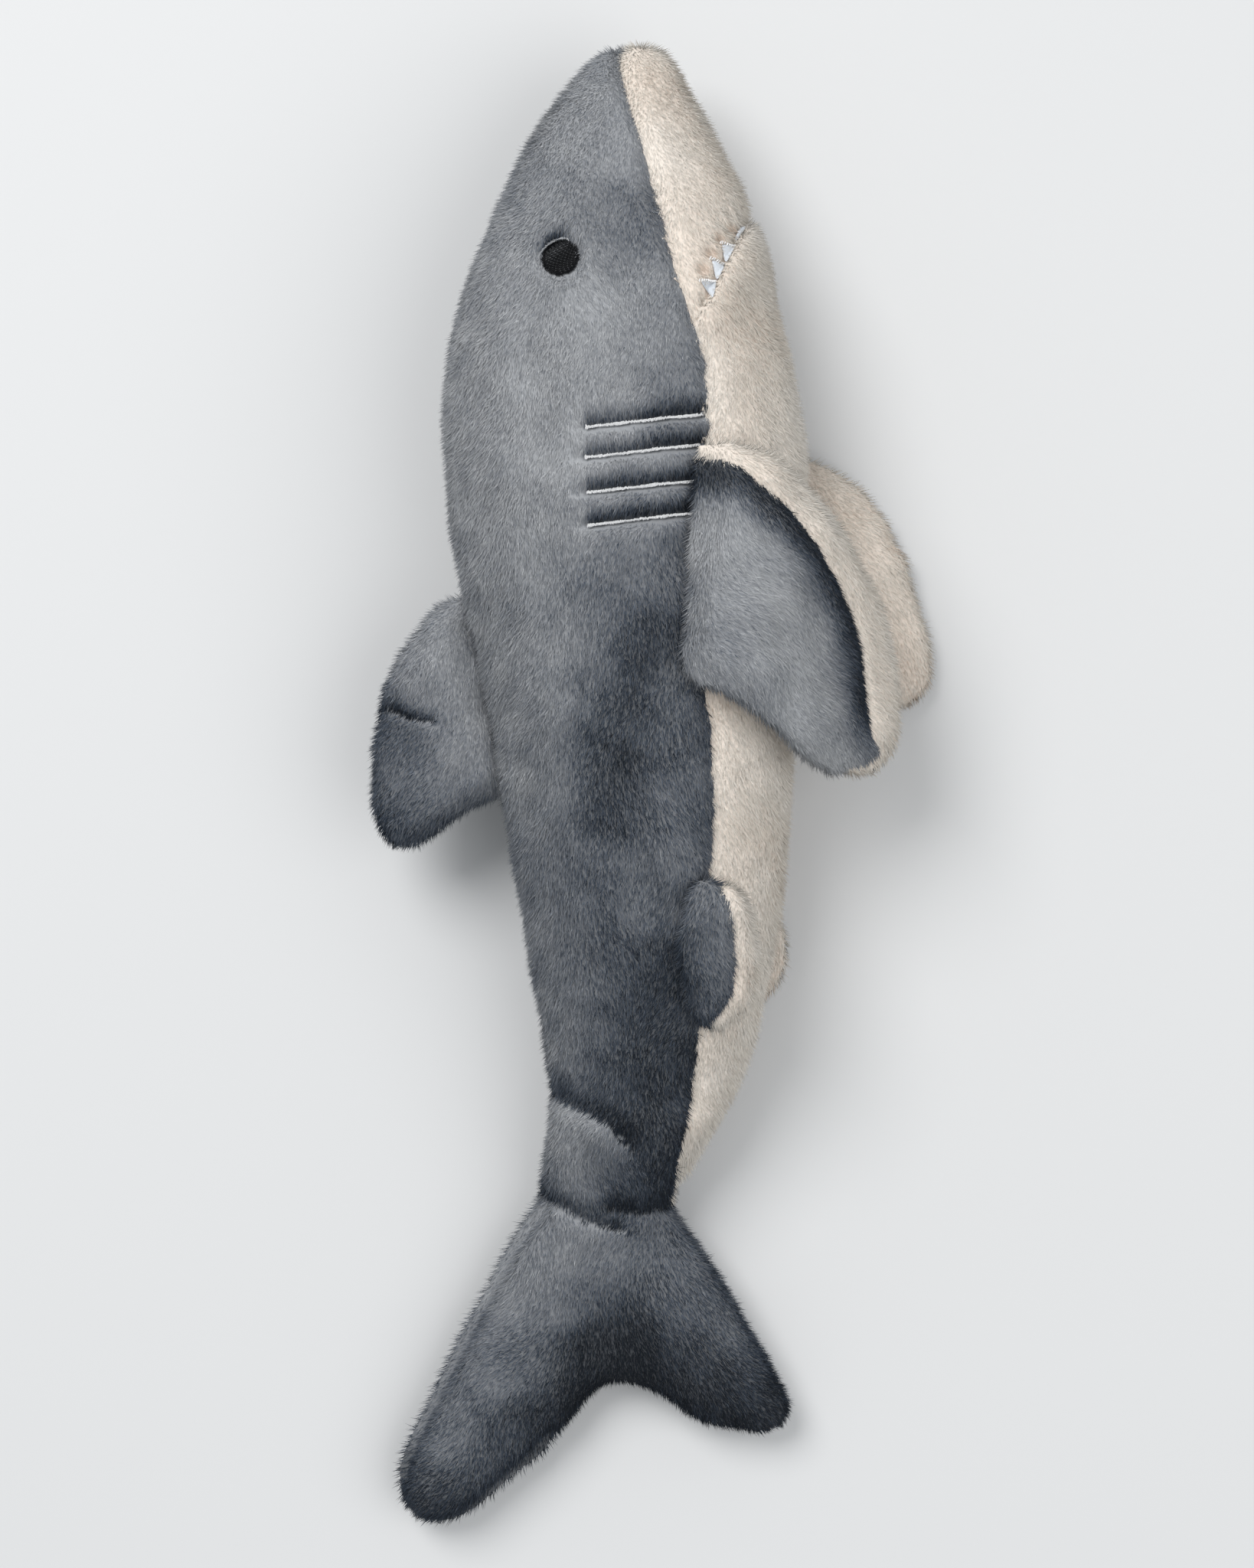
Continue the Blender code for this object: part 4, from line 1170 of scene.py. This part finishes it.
def eye(tree, side, end):
    """Rows of black thread that fill a disc, a raised border round it, and beyond part of it pale
    strands in the pile's lightest tone, a painted highlight where the fur at the rim catches the
    light.
    """
    middle = eye_middle()
    lean, over = THREAD_TURN, left_of(THREAD_TURN)
    pitch = 0.6
    lines = []
    for number, row in enumerate(np.arange(-EYE_RADIUS + 0.4, EYE_RADIUS - 0.2, pitch)):
        half = math.sqrt(max(EYE_RADIUS**2 - row**2, 0.3))
        cuts = np.arange(-half, half, 1.15) + 0.55 * (number % 2)
        ends = np.unique(np.concatenate([[-half], cuts[np.abs(cuts) < half - 0.3], [half]]))
        for a, b in zip(ends[:-1], ends[1:]):
            lines.append((middle + row * over + a * lean, middle + row * over + b * lean))
    fill = stitches(f"eye_{end}_thread", tree, side, lines, 0.66, 0.5, BLACK_THREAD, 0.5)
    draw = np.random.default_rng(9)
    border = []
    for turn in np.arange(0, 2 * math.pi, 0.085):
        ragged = EYE_RADIUS + draw.uniform(0.1, 0.8)
        inner = middle + (EYE_RADIUS - 0.6) * heading(turn)
        border.append((inner, middle + ragged * heading(turn + 0.09)))
    rim = stitches(f"eye_{end}_border", tree, side, border, 0.5, 0.42, BLACK_THREAD, 0.6, 3)
    for piece in (fill, rim):
        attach(piece, "torso")
    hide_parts(f"eye_{end}")
    # Painted highlight: short strands of the lightest grey pile round part of the eye's rim.
    highlight_lines = []
    for turn in np.arange(math.radians(58), math.radians(192), 0.05):
        near = EYE_RADIUS + 0.35 + 0.5 * smooth_step((turn - 2.4) / 0.8)
        outer = middle + (near + draw.uniform(0.5, 0.9)) * heading(turn + 0.12)
        highlight_lines.append((middle + near * heading(turn), outer))
    edge_strands = stitches(f"eye_{end}_hem", tree, side, highlight_lines, 0.2, 0.24, GREY_PILE[9], 1.0, 2)
    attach(edge_strands, "torso")


def gills(tree, side, end):
    """Each gill is a close row of short white stitches across its line."""
    for number, (start, stop) in zip(GILLS, gill_lines()):
        start, stop = np.array(start), np.array(stop)
        run = unit(stop - start)
        across = left_of(run) * 0.6 + run * 0.3
        pitch = 0.36
        count = int(np.linalg.norm(stop - start) / pitch)
        draw = np.random.default_rng(number)
        lines = []
        for share in np.linspace(0, 1, count):
            middle = start + share * (stop - start) + draw.normal(0, 0.06, 2)
            lines.append((middle - across, middle + across))
        made = stitches(f"gill_{end}_{number}", tree, side, lines, 0.52, 0.55, WHITE_THREAD, 0.9, 4)
        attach(made, "torso")
        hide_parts(f"gill_stitch_{end}_{number}")


def teeth(tree, side, end):
    """Satin teeth that lie from the jaw's edge over the upper lip, each with a stitched edge."""
    below = MOUTH_CORNER
    points, faces, edging = [], [], []
    draw = np.random.default_rng(5)
    for tip, inner in TEETH:
        tip, inner = np.array(tip), np.array(inner)
        base = len(points)
        inward = 1.6 * unit(inner - tip)
        corners = (tip, below + inward, inner + inward)
        for lift in (0.15, 1.1):
            for a, b in ((0, 1), (1, 2), (2, 0)):
                for share in (0.0, 1 / 3, 2 / 3):
                    plan = corners[a] + share * (corners[b] - corners[a])
                    points.append(on_skin(tree, plan, side, lift)[0])
        middle = sum(corners) / 3
        points.append(on_skin(tree, middle, side, 0.1)[0])
        points.append(on_skin(tree, middle, side, 1.6)[0])
        for k in range(9):
            nxt = (k + 1) % 9
            faces.append((base + k, base + nxt, base + 9 + nxt, base + 9 + k))
            faces.append((base + k, base + 18, base + nxt))
            faces.append((base + 9 + k, base + 9 + nxt, base + 19))
        run = inner - tip
        slant = 0.42 * unit(left_of(run)) + 0.14 * unit(run)
        pitch = 0.42
        for share in np.linspace(0, 1, int(np.linalg.norm(run) / pitch)):
            reach = draw.uniform(0.6, 1.5)
            edging.append((tip + share * run - reach * slant, tip + share * run + slant))
        below = inner
    mesh = bpy.data.meshes.new(f"teeth_{end}")
    mesh.from_pydata([tuple(point * MM) for point in points], [], faces)
    mesh.materials.append(WHITE_SATIN)
    band = placed(f"teeth_{end}", mesh)
    turned_out(band)
    worked(band, "SUBSURF", levels=1, render_levels=1)
    edge_strands = stitches(f"teeth_{end}_edging", tree, side, edging, 0.44, 0.5, WHITE_THREAD, 1.0, 3)
    for piece in (band, edge_strands):
        follow_jaw(piece)
    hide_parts(f"tooth_band_{end}")


def embroidery(tree):
    """Everything that is stitched or glued on the skin, on both sides."""
    for side, end in ((1, "right"), (-1, "left")):
        eye(tree, side, end)
        gills(tree, side, end)
        teeth(tree, side, end)


# ---------------- camera, lights and floor


CAMERA_HEIGHT = 1000.0
VIEW_MIDDLE = (-8.42, 2.91)
VIEW_LENGTH = 450.56  # what the picture's long side takes in at the toy's middle height
MIDDLE_HEIGHT = 40.0


def camera():
    """Looks straight down on the toy."""
    data = bpy.data.cameras.new("camera")
    view = bpy.data.objects.new("camera", data)
    bpy.context.scene.collection.objects.link(view)
    view.location = (VIEW_MIDDLE[0] * MM, VIEW_MIDDLE[1] * MM, CAMERA_HEIGHT * MM)
    data.sensor_width = 36.0
    data.lens = data.sensor_width * (CAMERA_HEIGHT - MIDDLE_HEIGHT) / VIEW_LENGTH
    bpy.context.scene.camera = view


def soft_light(name, place, size, power):
    """A round lamp that faces the toy; place and size are in metres."""
    data = bpy.data.lights.new(name, "AREA")
    data.shape = "DISK"
    data.size = size
    data.energy = power
    light = bpy.data.objects.new(name, data)
    bpy.context.scene.collection.objects.link(light)
    light.location = place
    aim = Vector((0.0, 0.0, 0.02)) - Vector(place)
    light.rotation_euler = aim.to_track_quat("-Z", "Y").to_euler()


def studio():
    """A pale floor, two soft lamps and a faint sky."""
    bpy.ops.object.select_all(action="DESELECT")
    bpy.ops.mesh.primitive_plane_add(size=6.0, location=(0.0, 0.0, 0.0))
    floor = bpy.context.active_object
    floor.name = "floor"
    paper = Finish("floor_paper", Base_Color=(0.62, 0.62, 0.62, 1.0), Roughness=0.9)
    floor.data.materials.append(paper.material)
    soft_light("key", (-0.75, 0.85, 1.5), 1.1, 25.0)
    soft_light("fill", (0.9, -0.3, 1.3), 1.6, 10.0)
    world = bpy.context.scene.world or bpy.data.worlds.new("studio")
    bpy.context.scene.world = world
    world.use_nodes = True
    sky = world.node_tree.nodes["Background"]
    sky.inputs["Color"].default_value = (0.93, 0.97, 1.0, 1.0)
    sky.inputs["Strength"].default_value = 0.55
    bpy.context.scene.view_settings.view_transform = "Standard"


camera()
studio()
fins()
embroidery(body())
